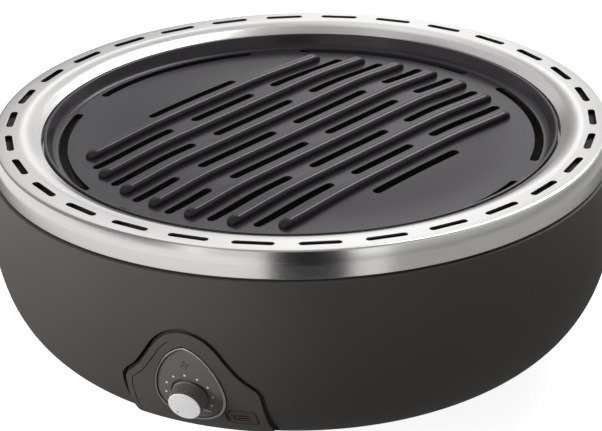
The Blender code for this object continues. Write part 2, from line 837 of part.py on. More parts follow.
def build_board():
    """Circuit board behind the panel, its two screws and the port's socket."""
    front = board_front_depth()
    back = front - board_thickness
    board = block("circuit_board", (board_low[0], board_low[1], back), (board_high[0], board_high[1], front))
    holes = []
    for offset in board_post_places():
        hole = rod("hole", board_screw_radius + side_gap, back - cut_past, front + cut_past)
        holes.append(shifted(hole, *offset))
    cut(board, gathered("holes", holes))
    screws = []
    for index, offset in enumerate(board_post_places()):
        head_top = back - seat_gap
        head_low, tip = head_top - board_screw_head_height, front + board_screw_length
        section = [(0.0, head_low), (board_screw_head_radius, head_low), (board_screw_head_radius, head_top)]
        section += [(board_screw_radius, head_top), (board_screw_radius, tip), (0.0, tip)]
        screw = turned("board_screw_%d" % (index + 1), section, small_steps)
        screws.append(dial_placed(shifted(screw, *offset)))
    x, y = port_place()
    low = (x - socket_width / 2.0, y - socket_height / 2.0, front + seat_gap)
    high = (x + socket_width / 2.0, y + socket_height / 2.0, front + seat_gap + socket_length)
    socket = block("port_socket", low, high)
    room_low = (low[0] + socket_wall, low[1] + socket_wall, low[2] + socket_wall * 2.0)
    room_high = (high[0] - socket_wall, high[1] - socket_wall, high[2] + cut_past)
    cut(socket, block("room", room_low, room_high))
    return [dial_placed(board), dial_placed(socket)] + screws


def build_port_cover():
    """Rubber flap over the port, with a U-shaped grip groove, hinged on its edge near the dial."""
    outline = [(port_arc + x, port_height + y) for x, y in cover_outline(0.0)]
    cover = belly_prism(
        "port_cover", outline, lambda z: swell(z) - port_cover_thickness + port_cover_proud,
        lambda z: swell(z) + port_cover_proud,
    )
    length = port_cover_width * port_groove_length_share
    height = port_cover_height * port_groove_height_share
    outer = slot_outline(-length / 2.0, length / 2.0, height)
    inner = slot_outline(-length / 2.0 + port_groove_width, length / 2.0, height - 2.0 * port_groove_width)
    open_end = length / 2.0 - height / 2.0
    outer = [(min(x, open_end), y) for x, y in outer if x <= open_end + running_gap]
    inner = [(min(x, open_end), y) for x, y in inner if x <= open_end + running_gap]
    ring = outer + inner[::-1]
    groove = belly_prism(
        "groove", [(port_arc + x, port_height + y) for x, y in ring],
        lambda z: swell(z) + port_cover_proud - port_groove_depth, lambda z: swell(z) + cut_past,
    )
    return cut(cover, groove)


def cover_hinge():
    """Point on the port cover's hinge and the hinge direction, pointing down."""
    arc = port_arc - port_cover_width / 2.0
    ends = []
    for height in (port_height + port_cover_height / 2.0, port_height - port_cover_height / 2.0):
        ends.append(belly_point(arc, height, swell(height) + port_cover_proud))
    return (ends[0] + ends[1]) / 2.0, (ends[1] - ends[0]).normalized()


def build_bowl():
    """Pressed steel bowl that hangs on the collar's ledge, with an air hole in its floor."""
    rise = bowl_rim_height - bowl_floor_height
    reach = bowl_wall_radius - bowl_floor_radius
    path = [(bowl_hole_radius, bowl_floor_height + bowl_lip_height), (bowl_hole_radius, bowl_floor_height)]
    path.append((bowl_floor_radius, bowl_floor_height))
    for out, up in bowl_curve_shares:
        path.append((bowl_floor_radius + out * reach, bowl_floor_height + up * rise))
    path.append((bowl_wall_radius, bowl_rim_height))
    path.append((collar_mouth_radius - side_gap, bowl_rim_height))
    return turned("inner_bowl", sheet_section(path, bowl_sheet), large_steps)


def plate_dome(radius):
    """Height of the plate's floor above its outer gutter."""
    flat, edge = (plate_dome_radius * share for share in plate_dome_shares)
    return plate_dome_height * min(max((edge - radius) / (edge - flat), 0.0), 1.0)


def build_plate():
    """Black plate with raised ribs, slots between them and arc slots in the gutter."""
    floor = plate_floor_height
    under = floor - plate_floor_thickness
    rim_top = plate_rim_bottom + plate_rim_height
    dome_radii = [plate_dome_radius * share for share in plate_dome_shares]
    section = [(0.0, under), (plate_wall_radius, under)]
    section += [(plate_wall_radius, plate_rim_bottom), (plate_rim_radius, plate_rim_bottom)]
    section += [(plate_rim_radius, rim_top), (plate_rim_radius - plate_rim_lip, rim_top)]
    section.append((plate_floor_radius, floor))
    section += [(radius, floor + plate_dome(radius)) for radius in dome_radii[::-1]]
    section.append((0.0, floor + plate_dome(dome_radii[0])))
    plate = turned("grill_plate", section, large_steps)
    middle = (rib_count - 1) / 2.0
    for index in range(rib_count):
        joined(plate, spun(build_rib((index - middle) * rib_pitch), rib_angle))
    low, high = under - cut_past, rim_top + cut_past
    cutters = []
    for row, spans in floor_slot_shares:
        for start, end in spans:
            outline = slot_outline(start * plate_dome_radius, end * plate_dome_radius, floor_slot_width)
            for side in (0.0, 180.0):
                slot = shifted(extruded("slot", outline, low, high), 0.0, row * rib_pitch)
                cutters.append(spun(slot, rib_angle + side))
                if start > 0.0:
                    mirrored = [(-x, y) for x, y in outline]
                    slot = shifted(extruded("slot", mirrored, low, high), 0.0, row * rib_pitch)
                    cutters.append(spun(slot, rib_angle + side))
    for index in range(arc_slot_count):
        slot = extruded("slot", arc_outline(), low, high)
        cutters.append(spun(slot, arc_slot_turn + 360.0 * (index + 0.5) / arc_slot_count))
    return cut(plate, gathered("slots", cutters))


def arc_outline():
    """Plan outline of one gutter slot, centred on the X axis."""
    reach = math.radians(360.0 / arc_slot_count - arc_slot_gap_angle) / 2.0
    half = arc_slot_width / 2.0
    points = []
    for step in range(arc_slot_steps + 1):
        angle = -reach + 2.0 * reach * step / arc_slot_steps
        outer = arc_slot_radius + half
        points.append((outer * math.cos(angle), outer * math.sin(angle)))
    tip = reach + half * 0.7 / arc_slot_radius
    points.append((arc_slot_radius * math.cos(tip), arc_slot_radius * math.sin(tip)))
    for step in range(arc_slot_steps + 1):
        angle = reach - 2.0 * reach * step / arc_slot_steps
        inner = arc_slot_radius - half
        points.append((inner * math.cos(angle), inner * math.sin(angle)))
    points.append((arc_slot_radius * math.cos(tip), -arc_slot_radius * math.sin(tip)))
    return points


def build_rib(offset):
    """One raised rib along X with rounded ends, following the domed floor."""
    half_length = math.sqrt(plate_dome_radius ** 2 - offset ** 2)
    half_width = rib_width / 2.0
    stations = [(-half_length + half_width * along, size) for along, size in rib_end_shares]
    plain = half_length - half_width
    for step in range(1, rib_stations):
        stations.append((-plain + 2.0 * plain * step / rib_stations, 1.0))
    stations += [(half_length - half_width * along, size) for along, size in rib_end_shares[::-1]]
    work = bmesh.new()
    rings = []
    for along, size in stations:
        ground = plate_floor_height + plate_dome(math.hypot(along, offset))
        profile = [(across, up) for across, up in rib_section_shares]
        profile += [(-across, up) for across, up in rib_section_shares[-2::-1]]
        ring = [work.verts.new((along, offset + half_width * size, ground - rib_root))]
        for across, up in profile:
            y, z = offset + across * half_width * size, ground + up * rib_height * size
            ring.append(work.verts.new((along, y, z)))
        ring.append(work.verts.new((along, offset - half_width * size, ground - rib_root)))
        rings.append(ring)
    for ring, following in zip(rings, rings[1:]):
        for index in range(len(ring)):
            after = (index + 1) % len(ring)
            work.faces.new((ring[index], ring[after], following[after], following[index]))
    work.faces.new(rings[0])
    work.faces.new(rings[-1])
    bmesh.ops.triangulate(work, faces=work.faces)
    return make_object("rib", work)


def build_tray():
    """Ring-shaped tray for the starter fuel, on the bowl's floor."""
    low = bowl_floor_height + bowl_sheet + seat_gap
    path = [(tray_inner_radius, low + tray_height), (tray_inner_radius, low)]
    path += [(tray_outer_radius, low), (tray_outer_radius + tray_flare, low + tray_height)]
    return turned("fuel_tray", sheet_section(path, tray_sheet), medium_steps)


def build_basket():
    """Charcoal basket: a tall drum with a pierced floor, slotted wall and slotted skirt."""
    low, top = basket_bottom_height, basket_top_height
    floor = low + basket_floor_lift
    wall = basket_radius - basket_sheet
    section = [
        (0.0, floor), (wall, floor), (wall, low), (basket_radius, low), (basket_radius, top - basket_sheet),
        (basket_radius + basket_rim_width, top - basket_sheet), (basket_radius + basket_rim_width, top),
        (wall, top), (wall, floor + basket_sheet), (0.0, floor + basket_sheet),
    ]
    basket = turned("charcoal_basket", section, medium_steps)
    cutters = []
    for ring, count in enumerate(basket_hole_counts):
        for index in range(count):
            hole = rod("hole", basket_hole_radius, floor - cut_past, floor + cut_past, hole_steps)
            cutters.append(spun(shifted(hole, ring * basket_hole_ring_pitch, 0.0), 360.0 * index / count))
    for share_low, share_high in (basket_slot_share, skirt_slot_share):
        for index in range(basket_slot_count):
            slot_low = low + share_low * basket_height
            slot_high = low + share_high * basket_height
            outline = slot_outline(slot_low, slot_high, basket_slot_width)
            slot = extruded("slot", outline, wall - cut_past, basket_radius + cut_past)
            place(slot, Matrix.Rotation(math.radians(-90.0), 4, 'Y'))
            place(slot, Matrix.Scale(-1.0, 4, Vector((1.0, 0.0, 0.0))))
            cutters.append(spun(slot, 360.0 * (index + 0.5) / basket_slot_count))
    return cut(basket, gathered("holes", cutters))


def build_lid():
    """Lid of the charcoal basket and its small handle."""
    lip = basket_radius - basket_sheet - lid_lip_inset
    low, top = lid_bottom_height, lid_top_height
    lip_low, edge = low - lid_lip_height, basket_radius + basket_rim_width
    section = [
        (0.0, low), (lip - basket_sheet, low), (lip - basket_sheet, lip_low), (lip, lip_low),
        (lip, low), (edge, low), (edge, top), (0.0, top),
    ]
    lid = turned("basket_lid", section, medium_steps)
    holes = []
    for index in range(lid_hole_count):
        hole = rod("hole", basket_hole_radius, low - cut_past, top + cut_past, hole_steps)
        holes.append(spun(shifted(hole, lid_hole_circle_radius, 0.0), 360.0 * index / lid_hole_count))
    cut(lid, gathered("holes", holes))
    base = top + seat_gap
    neck = base + handle_height * handle_stem_share
    crown = base + handle_height
    section = [(0.0, base), (handle_radius, base), (handle_stem_radius, base + handle_height * 0.2)]
    section += [(handle_stem_radius, neck), (handle_radius, neck + handle_height * 0.2)]
    section += [(handle_radius, crown), (0.0, crown)]
    handle = turned("lid_handle", section, small_steps)
    return lid, handle


def build_cover():
    """Base cover with air slots, a battery opening, screw and foot holes and rails for the door."""
    low, top = cover_bottom_height, cover_top_height
    cover = rod("base_cover", cover_radius, low, top, large_steps)
    rail_inner = door_half_width + side_gap
    for side in (-1.0, 1.0):
        xs = sorted((side * rail_inner, side * (rail_inner + rail_wall)))
        start, end = bay_front_y - rail_stop - side_gap, bay_front_y + door_length
        joined(cover, block("rail", (xs[0], start, rail_bottom), (xs[1], end, low + overlap)))
        xs = sorted((side * (rail_inner - rail_lip_width), side * (rail_inner + overlap)))
        joined(cover, block("lip", (xs[0], start, rail_bottom), (xs[1], end, rail_lip_top)))
    stop = (rail_inner + overlap, bay_front_y - side_gap)
    stop_low = (-stop[0], stop[1] - rail_stop, rail_bottom)
    joined(cover, block("stop", stop_low, (stop[0], stop[1], low + overlap)))
    tools = []
    for index in range(intake_count):
        outline = slot_outline(intake_inner_radius, intake_outer_radius, intake_width)
        slot = extruded("slot", outline, low - cut_past, top + cut_past)
        tools.append(spun(slot, 360.0 * index / intake_count))
    for angle in screw_angles:
        hole = rod("hole", screw_shank_radius + side_gap, low - cut_past, top + cut_past)
        tools.append(spun(shifted(hole, screw_circle_radius, 0.0), angle))
    for x, y in foot_places():
        hole = rod("hole", foot_stem_radius + side_gap, low - cut_past, top + cut_past)
        tools.append(shifted(hole, x, y))
    reach = bay_half_width - bay_wall
    opening = ((-reach, bay_front_y + bay_wall, low - overlap), (reach, bay_rear_y - bay_wall, top + cut_past))
    tools.append(block("opening", *opening))
    return cut(cover, gathered("holes", tools))


def foot_places():
    """Centres of the four feet."""
    half = foot_spacing / 2.0
    return ((half, half), (-half, half), (-half, -half), (half, -half))


def build_feet():
    """Four rubber feet with stems through the base cover."""
    feet = []
    top = cover_bottom_height - seat_gap
    stem_top = top + foot_stem_length
    for index, (x, y) in enumerate(foot_places()):
        section = [(0.0, 0.0), (foot_radius * 0.9, 0.0), (foot_radius, top * 0.25), (foot_radius, top)]
        section += [(foot_stem_radius, top), (foot_stem_radius, stem_top), (0.0, stem_top)]
        foot = turned("rubber_foot_%d" % (index + 1), section, small_steps)
        feet.append(shifted(foot, x, y))
    return feet


def build_screws():
    """Four screws that hold the base cover."""
    screws = []
    head_top = cover_bottom_height - seat_gap
    head_low = head_top - screw_head_height
    for index, angle in enumerate(screw_angles):
        section = [(0.0, head_low), (screw_head_radius * 0.7, head_low)]
        section += [(screw_head_radius, head_low + screw_head_height / 2.0), (screw_head_radius, head_top)]
        section.append((screw_shank_radius, head_top))
        section += [(screw_shank_radius, head_top + screw_length), (0.0, head_top + screw_length)]
        screw = turned("base_screw_%d" % (index + 1), section, small_steps)
        screws.append(spun(shifted(screw, screw_circle_radius, 0.0), angle))
    return screws


def build_fan():
    """Air guide with a motor seat, the motor, its shaft and the impeller."""
    low = cover_top_height + seat_gap
    section = [(guide_radius - guide_wall, low), (guide_radius, low)]
    section += [(guide_radius, low + guide_height), (guide_radius - guide_wall, low + guide_height)]
    guide = turned("fan_guide", section, medium_steps)
    hub_inner = motor_radius + side_gap
    hub_outer = hub_inner + hub_wall
    hub_low = motor_seat_height - hub_floor
    hub_top = motor_seat_height + hub_height
    section = [(hub_hole_radius, hub_low), (hub_outer, hub_low), (hub_outer, hub_top), (hub_inner, hub_top)]
    section += [(hub_inner, motor_seat_height), (hub_hole_radius, motor_seat_height)]
    hub = turned("hub", section, small_steps + 8)
    for index in range(arm_count):
        arm_low = (hub_outer - hub_wall / 2.0, -arm_width / 2.0, motor_seat_height)
        arm_high = (guide_radius - guide_wall / 2.0, arm_width / 2.0, motor_seat_height + hub_height / 2.0)
        arm = spun(block("arm", arm_low, arm_high), 90.0 + 360.0 * index / arm_count)
        joined(hub, arm)
    joined(guide, hub)
    motor_low = motor_seat_height + seat_gap
    well, well_top = motor_shaft_radius + side_gap, motor_low + motor_shaft_in + cut_past
    section = [(well, motor_low), (motor_radius, motor_low), (motor_radius, motor_low + motor_length)]
    section += [(0.0, motor_low + motor_length), (0.0, well_top), (well, well_top)]
    motor = turned("fan_motor", section, small_steps + 8)
    shaft_low = impeller_height - impeller_hub_height / 2.0 - seat_gap
    shaft = rod("motor_shaft", motor_shaft_radius, shaft_low, motor_low + motor_shaft_in, small_steps)
    return guide, motor, shaft, build_impeller()


def build_impeller():
    """Seven-bladed fan wheel on the motor's shaft."""
    low, top = impeller_height - impeller_hub_height / 2.0, impeller_height + impeller_hub_height / 2.0
    wheel = rod("fan_impeller", impeller_hub_radius, low, top, medium_steps)
    for index in range(blade_count):
        corner = (blade_radius, blade_chord / 2.0, blade_thickness / 2.0)
        blade = block("blade", (impeller_hub_radius * 0.6, -corner[1], -corner[2]), corner)
        place(blade, Matrix.Rotation(math.radians(blade_pitch), 4, 'X'))
        shifted(blade, 0.0, 0.0, impeller_height)
        joined(wheel, spun(blade, 360.0 * index / blade_count))
    bore = rod("bore", motor_shaft_radius + running_gap, low - cut_past, top + cut_past)
    return cut(wheel, bore)


def build_battery_bay():
    """Battery box open at the bottom, four cells, two contact strips and the sliding door."""
    low = (-bay_half_width, bay_front_y, bay_low_z)
    high = (bay_half_width, bay_rear_y, bay_top_z)
    box = block("battery_box", low, high)
    room_low = (low[0] + bay_wall, low[1] + bay_wall, low[2] - cut_past)
    room_high = (high[0] - bay_wall, high[1] - bay_wall, high[2] - bay_wall)
    cut(box, block("room", room_low, room_high))
    pieces = [box]
    places = [(y, z) for z in (lower_cell_height, upper_cell_height) for y in (front_cell_y, rear_cell_y)]
    for index, (y, z) in enumerate(places):
        direction = 1.0 if index in (0, 3) else -1.0
        pieces.append(build_cell("battery_cell_%d" % (index + 1), y, z, direction))
    for index, side in enumerate((-1.0, 1.0)):
        outer = side * (bay_half_width - bay_wall - cell_gap / 2.0)
        inner = outer - side * contact_thickness
        xs = sorted((outer, inner))
        plate_low = (xs[0], bay_front_y + bay_wall + cell_gap, lower_cell_height - cell_radius)
        plate_high = (xs[1], bay_rear_y - bay_wall - cell_gap, upper_cell_height + cell_radius)
        strip = block("battery_contact_%d" % (index + 1), plate_low, plate_high)
        for order, (y, z) in enumerate(places):
            direction = 1.0 if order in (0, 3) else -1.0
            reach = cell_length / 2.0 + (cell_nub_length if direction == side else 0.0) + cell_gap / 2.0
            bump = rod("bump", contact_bump_radius, reach, abs(inner) + contact_thickness / 2.0, 10)
            place(bump, Matrix.Rotation(math.radians(90.0 * side), 4, 'Y'))
            joined(strip, shifted(bump, 0.0, y, z))
        pieces.append(strip)
    pieces.append(build_door())
    return pieces


def build_cell(name, y, z, direction):
    """One AA cell along X."""
    half = cell_length / 2.0
    section = [(0.0, -half), (cell_radius, -half), (cell_radius, half), (cell_nub_radius, half)]
    section += [(cell_nub_radius, half + cell_nub_length), (0.0, half + cell_nub_length)]
    cell = turned(name, section, small_steps)
    place(cell, Matrix.Rotation(math.radians(90.0 * direction), 4, 'Y'))
    return shifted(cell, 0.0, y, z)


def build_door():
    """Sliding battery door with grip grooves."""
    start, end = bay_front_y, bay_front_y + door_length
    corner = (-door_half_width, start, door_bottom_height)
    door = block("battery_door", corner, (door_half_width, end, door_top_height))
    tools = []
    for index in range(grip_count):
        y = end - grip_width * (2.0 * index + 3.0)
        low = (-door_half_width / 2.0, y, door_bottom_height - cut_past)
        high = (door_half_width / 2.0, y + grip_width, door_bottom_height + grip_depth)
        tools.append(block("grip", low, high))
    return cut(door, gathered("grips", tools))


def set_pivot(item, point):
    """Put the object's origin on its joint axis without moving its shape."""
    place(item, Matrix.Translation(-point))
    item.location = point


def smooth_round(item, angle=35.0):
    """Smooth the round faces and keep the real edges sharp."""
    item.data.polygons.foreach_set("use_smooth", [True] * len(item.data.polygons))
    item.data.set_sharp_from_angle(angle=math.radians(angle))
    item.data.update()


finishes = {
    "steel_collar": ((0.62, 0.61, 0.6), 1.0, 0.28),
    "outer_housing": ((0.05, 0.048, 0.046), 0.0, 0.55),
    "base_cover": ((0.04, 0.04, 0.04), 0.0, 0.6),
    "control_panel": ((0.045, 0.044, 0.042), 0.0, 0.55),
    "dial_plate": ((0.07, 0.066, 0.062), 0.0, 0.5),
    "dial_ring": ((0.8, 0.8, 0.8), 1.0, 0.08),
    "knob_body": ((0.06, 0.055, 0.05), 0.0, 0.5),
    "knob_cap": ((0.75, 0.75, 0.75), 1.0, 0.25),
    "knob_shaft": ((0.6, 0.6, 0.6), 1.0, 0.3),
    "speed_control": ((0.3, 0.32, 0.34), 0.6, 0.4),
    "control_nut": ((0.65, 0.62, 0.5), 1.0, 0.35),
    "circuit_board": ((0.02, 0.18, 0.08), 0.0, 0.5),
    "board_screw": ((0.5, 0.5, 0.5), 1.0, 0.35),
    "port_socket": ((0.6, 0.6, 0.6), 1.0, 0.3),
    "port_cover": ((0.05, 0.05, 0.05), 0.0, 0.8),
    "inner_bowl": ((0.55, 0.55, 0.55), 1.0, 0.3),
    "grill_plate": ((0.03, 0.03, 0.032), 0.0, 0.35),
    "fuel_tray": ((0.5, 0.5, 0.5), 1.0, 0.35),
    "charcoal_basket": ((0.5, 0.5, 0.5), 1.0, 0.35),
    "basket_lid": ((0.5, 0.5, 0.5), 1.0, 0.35),
    "lid_handle": ((0.5, 0.5, 0.5), 1.0, 0.3),
    "rubber_foot": ((0.02, 0.02, 0.02), 0.0, 0.9),
    "base_screw": ((0.3, 0.3, 0.3), 1.0, 0.4),
    "fan_guide": ((0.05, 0.05, 0.05), 0.0, 0.6),
    "fan_motor": ((0.55, 0.55, 0.55), 1.0, 0.35),
    "motor_shaft": ((0.6, 0.6, 0.6), 1.0, 0.25),
    "fan_impeller": ((0.03, 0.03, 0.03), 0.0, 0.5),
    "battery_box": ((0.04, 0.04, 0.04), 0.0, 0.6),
    "battery_cell": ((0.12, 0.3, 0.14), 0.3, 0.4),
    "battery_contact": ((0.7, 0.68, 0.6), 1.0, 0.3),
    "battery_door": ((0.045, 0.045, 0.045), 0.0, 0.6),
}


def finish(item):
    """Give one piece its own material."""
    kind = item.name.rstrip("0123456789").rstrip("_")
    colour, metallic, roughness = finishes[kind]
    material = bpy.data.materials.new(item.name)
    material.use_nodes = True
    shader = material.node_tree.nodes["Principled BSDF"]
    shader.inputs["Base Color"].default_value = (*colour, 1.0)
    shader.inputs["Metallic"].default_value = metallic
    shader.inputs["Roughness"].default_value = roughness
    item.data.materials.clear()
    item.data.materials.append(material)


def cleaned(item):
    """Weld doubled points left by the Booleans."""
    work = bmesh.new()
    work.from_mesh(item.data)
    bmesh.ops.remove_doubles(work, verts=work.verts, dist=same_point)
    bmesh.ops.dissolve_degenerate(work, edges=work.edges, dist=same_point)
    bmesh.ops.dissolve_limit(work, angle_limit=flat_angle, verts=work.verts, edges=work.edges)
    work.to_mesh(item.data)
    work.free()


def main():
    """Build every piece, then set pivots, shading and materials."""
    clear_scene()
    build_collar()
    build_housing()
    build_panel()
    build_dial()
    knob, cap, shaft = build_knob()
    build_speed_control()
    build_board()
    port_cover = build_port_cover()
    build_bowl()
    build_plate()
    build_tray()
    build_basket()
    build_lid()
    build_cover()
    build_feet()
    build_screws()
    guide, motor, motor_shaft, impeller = build_fan()
    build_battery_bay()
    for item in bpy.data.objects:
        cleaned(item)
        smooth_round(item)
        finish(item)
    axis_point = dial_matrix().translation.copy()
    for item in (knob, cap, shaft):
        set_pivot(item, axis_point)
    hinge_point, hinge_direction = cover_hinge()
    set_pivot(port_cover, hinge_point)
    fan_point = Vector((0.0, 0.0, impeller_height))
    for item in (motor_shaft, impeller):
        set_pivot(item, fan_point)
    print("knob axis", axis_point[:], dial_matrix().col[2][:3])
    print("cover hinge", hinge_point[:], hinge_direction[:])


if __name__ == "__main__":
    main()
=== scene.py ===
"""Round table-top charcoal grill: brushed collar, ribbed plate and fan dial, dressed for its pictures."""

import math

import bmesh
import bpy
from mathutils import Matrix, Vector


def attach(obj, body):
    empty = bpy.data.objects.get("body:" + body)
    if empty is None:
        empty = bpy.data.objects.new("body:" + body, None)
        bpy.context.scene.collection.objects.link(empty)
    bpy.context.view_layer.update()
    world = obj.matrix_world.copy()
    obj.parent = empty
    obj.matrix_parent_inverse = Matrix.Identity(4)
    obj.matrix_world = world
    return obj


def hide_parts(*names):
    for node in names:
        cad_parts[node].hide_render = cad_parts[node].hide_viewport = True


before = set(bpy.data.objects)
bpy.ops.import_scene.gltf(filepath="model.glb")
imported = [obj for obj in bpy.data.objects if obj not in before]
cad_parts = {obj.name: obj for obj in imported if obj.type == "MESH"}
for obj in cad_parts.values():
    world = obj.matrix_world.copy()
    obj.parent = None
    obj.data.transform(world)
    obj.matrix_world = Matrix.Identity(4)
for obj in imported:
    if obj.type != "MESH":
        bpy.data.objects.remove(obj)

bl_info = {
    "name": "Table-top Charcoal Grill",
    "version": (1, 0, 0),
    "blender": (4, 5, 0),
    "location": "3D View > Sidebar > Grill",
    "description": "Builds the visible pieces of a round charcoal grill over its CAD frame",
    "category": "Object",
}

MM = 0.001


def in_mm(*points):
    """Points of an outline or a section, given in millimetres."""
    return [(x * MM, y * MM) for x, y in points]


# Steps round the turned pieces
large_steps = 180
medium_steps = 96
small_steps = 48

# Working clearances
weld = 0.002 * MM
cut_past = 2.0 * MM
cut_out = 6.0 * MM
seat_gap = 0.3 * MM
side_gap = 0.4 * MM

# Steel collar, with the heights and radii of the CAD part
collar_top = 140.0 * MM
collar_mouth_radius = 143.9 * MM
collar_mouth_height = 136.4 * MM
collar_edge_radius = 170.0 * MM
collar_band_radius = 171.8 * MM
collar_band_bottom = 124.2 * MM
collar_ledge_height = 130.4 * MM
collar_ledge_width = 2.7 * MM
collar_sheet = 0.8 * MM
mouth_lip = 0.6 * MM
slope_foot = (4.4 * MM, 1.55 * MM)
slope_reaches = (8.9 * MM, 13.4 * MM)
shoulder_points = in_mm((-5.0, 0.0), (-0.1, -0.2), (1.3, -5.5))
band_hem = (0.5 * MM, 0.7 * MM)
slot_count = 30
slot_punch = 3.0 * MM

# Belly, its spigot inside the collar and the shield under the slots
housing_top_radius = 173.3 * MM
housing_top_height = 123.9 * MM
housing_bottom_height = 9.9 * MM
housing_foot_radius = 91.6 * MM
housing_opening_radius = 80.0 * MM
housing_bulge = (5.4 * MM, 51.1 * MM)
housing_turn_in = 0.8 * MM
housing_wall = 3.0 * MM
housing_samples = 56
spigot_radii = (167.3 * MM, 169.9 * MM)
spigot_height = 7.0 * MM
spigot_bevel = 1.0 * MM
spigot_lead = 0.6 * MM
shelf_radius = 153.0 * MM
shelf_height = (136.3 * MM, 137.1 * MM)
shelf_lap = 1.0 * MM

# Control panel, measured along the belly from its centre line
panel_half_width = 40.2 * MM
panel_bottom = 24.0 * MM
panel_top = 94.3 * MM

# Right half of the panel's outline from the top down, as shares of its half width and height
panel_shares = (
    (0.0, 1.0), (0.12, 0.991), (0.28, 0.953), (0.39, 0.903), (0.48, 0.846), (0.567, 0.772),
    (0.736, 0.639), (0.905, 0.549), (0.965, 0.505), (0.993, 0.448), (1.0, 0.27), (1.0, 0.085),
    (0.985, 0.025), (0.93, 0.0),
)

# Steps in the panel's face, its window and its swelling toward the foot
panel_gap = 0.8 * MM
panel_border = 2.4 * MM
panel_recess = 2.6 * MM
panel_back = 5.8 * MM
panel_lap = 0.2 * MM
window_depth = 14.0 * MM
window_pitch = 12.0 * MM
panel_swell = 4.0 * MM
panel_swell_height = 36.0 * MM
panel_swell_power = 1.4
belly_pitch = 4.5 * MM
belly_halvings = 24

# How far a piece laid on the belly follows the panel's swollen face
swollen = 1.0
unswollen = 0.0

# Fine groove that follows the panel's left side
crease_inset = 5.8 * MM
crease_side = 9.0 * MM
crease_foot = 12.0 * MM
crease_spacing = 1.2 * MM
crease_drop = 0.3 * MM
crease_overrun = 5.0 * MM
crease_width = 0.55 * MM
crease_depth = 0.9 * MM

# Dial and what is printed on it
dial_height = 54.0 * MM
dial_half_width = 19.5 * MM
dial_above = 29.6 * MM
dial_powers = (1.6, 1.8)
dial_points = 96
dial_recess = 1.6 * MM
dial_sink = 0.2 * MM
ring_shift = 0.3 * MM
ring_height = 0.7 * MM
ring_cut = 9.0 * MM
disc_cut = 4.0 * MM
print_thickness = 0.1 * MM
print_sink = 0.045 * MM
print_drop = 1.0 * MM
dot_count = 8
dot_first = 184.0
dot_pitch = 30.6
dot_circle = 13.1 * MM
dot_centre = (-0.6 * MM, 0.4 * MM)
wedge = in_mm((0.0, 0.0), (4.0, -1.1), (4.2, -0.4), (1.2, 0.3))
wedge_place = (5.4 * MM, -10.6 * MM)
bar = in_mm((0.0, 0.0), (0.7, 0.0), (1.3, -2.3), (0.7, -2.4))
bar_place = (4.7 * MM, -9.0 * MM)
fan_wing = in_mm((0.35, 0.0), (1.2, -0.75), (2.3, -0.55), (2.6, 0.25), (1.5, 0.55))
fan_turn = 20.0
fan_place = (-0.2 * MM, 20.6 * MM)

# Hole and seat for the knob in the dial: radius, depth and steps
knob_cuts = ((5.8 * MM, disc_cut, 24), (10.6 * MM, 0.9 * MM, 36))

# Knob and its cap
knob_height = 53.0 * MM
knob_tilt = 17.0
knob_lift = 0.7 * MM
knob_length = 7.6 * MM
knob_edge = 0.35 * MM
knob_edge_shares = (0.935, 0.965)
knurl_radii = (9.15 * MM, 9.15 * MM, 9.65 * MM, 9.65 * MM)
skirt_section = in_mm((8.2, 0.1), (9.75, 0.1), (9.75, 0.9), (8.2, 0.9))
skirt_lift = 0.25 * MM
cap_radius = 8.8 * MM
cap_spigot = 8.3 * MM
cap_depth = 0.9 * MM
cap_edge = 0.34 * MM
cap_dome = 0.16 * MM
pit_radius = 0.95 * MM
pit_place = (-4.1 * MM, -5.2 * MM)
pit_lift = 0.75 * MM

# Port and its flap
port_arc = 25.9 * MM
port_height = 40.0 * MM
port_size = (14.3 * MM, 10.0 * MM)
port_corner = 1.6 * MM
port_recess = 1.8 * MM
slit_size = (0.9 * MM, 7.6 * MM)
slit_corner = 0.4 * MM
slit_offset = (8.6 * MM, 0.4 * MM)
flap_thickness = 1.5 * MM
flap_height = 0.2 * MM
groove_reach = 4.3 * MM
groove_half = 2.1 * MM
groove_width = 0.8 * MM
groove_depth = 0.5 * MM
groove_shift = 0.6 * MM
groove_bar = (6.2 * MM, 0.8 * MM)
bar_shift = 0.9 * MM

# Grill plate
plate_floor = 128.7 * MM
plate_under = 125.7 * MM
plate_under_bevel = 1.0 * MM
plate_rim_bottom = 131.8 * MM
plate_rim_top = 136.2 * MM
plate_rim_radius = 142.9 * MM
rim_width = 1.7 * MM
rim_slope = (2.6 * MM, 2.0 * MM)
plate_wall_radius = 139.6 * MM
plate_floor_radius = 137.0 * MM
dish_radius = 127.5 * MM
dish_bend = 12.0 * MM
dish_foot = 1.0 * MM
plate_dome_radius = 122.0 * MM
plate_dome_flat = 73.2 * MM
plate_dome_height = 2.6 * MM
dome_steps = 24
rib_pitch = 23.7 * MM
rib_angle = 69.1
rib_power = 3.4
rib_circle = 119.5 * MM
rib_root = 1.4 * MM
rib_nose = 6.0 * MM
nose_power = 2.2
rib_lean = 0.16
rib_steps = 16

# Slots of the plate: the row in rib pitches, then where each starts and ends as a share of the dome's radius
slot_rows = (
    (0.5, ((0.066, 0.573), (0.706, 0.988))),
    (1.5, ((-0.265, 0.265), (0.397, 0.927))),
    (2.5, ((-0.207, 0.207), (0.339, 0.847))),
    (3.5, ((-0.291, 0.291),)),
)
arc_slot_radius = 132.4 * MM
arc_slot_span = 45.6
arc_slot_first = 206.8
arc_slot_steps = 24

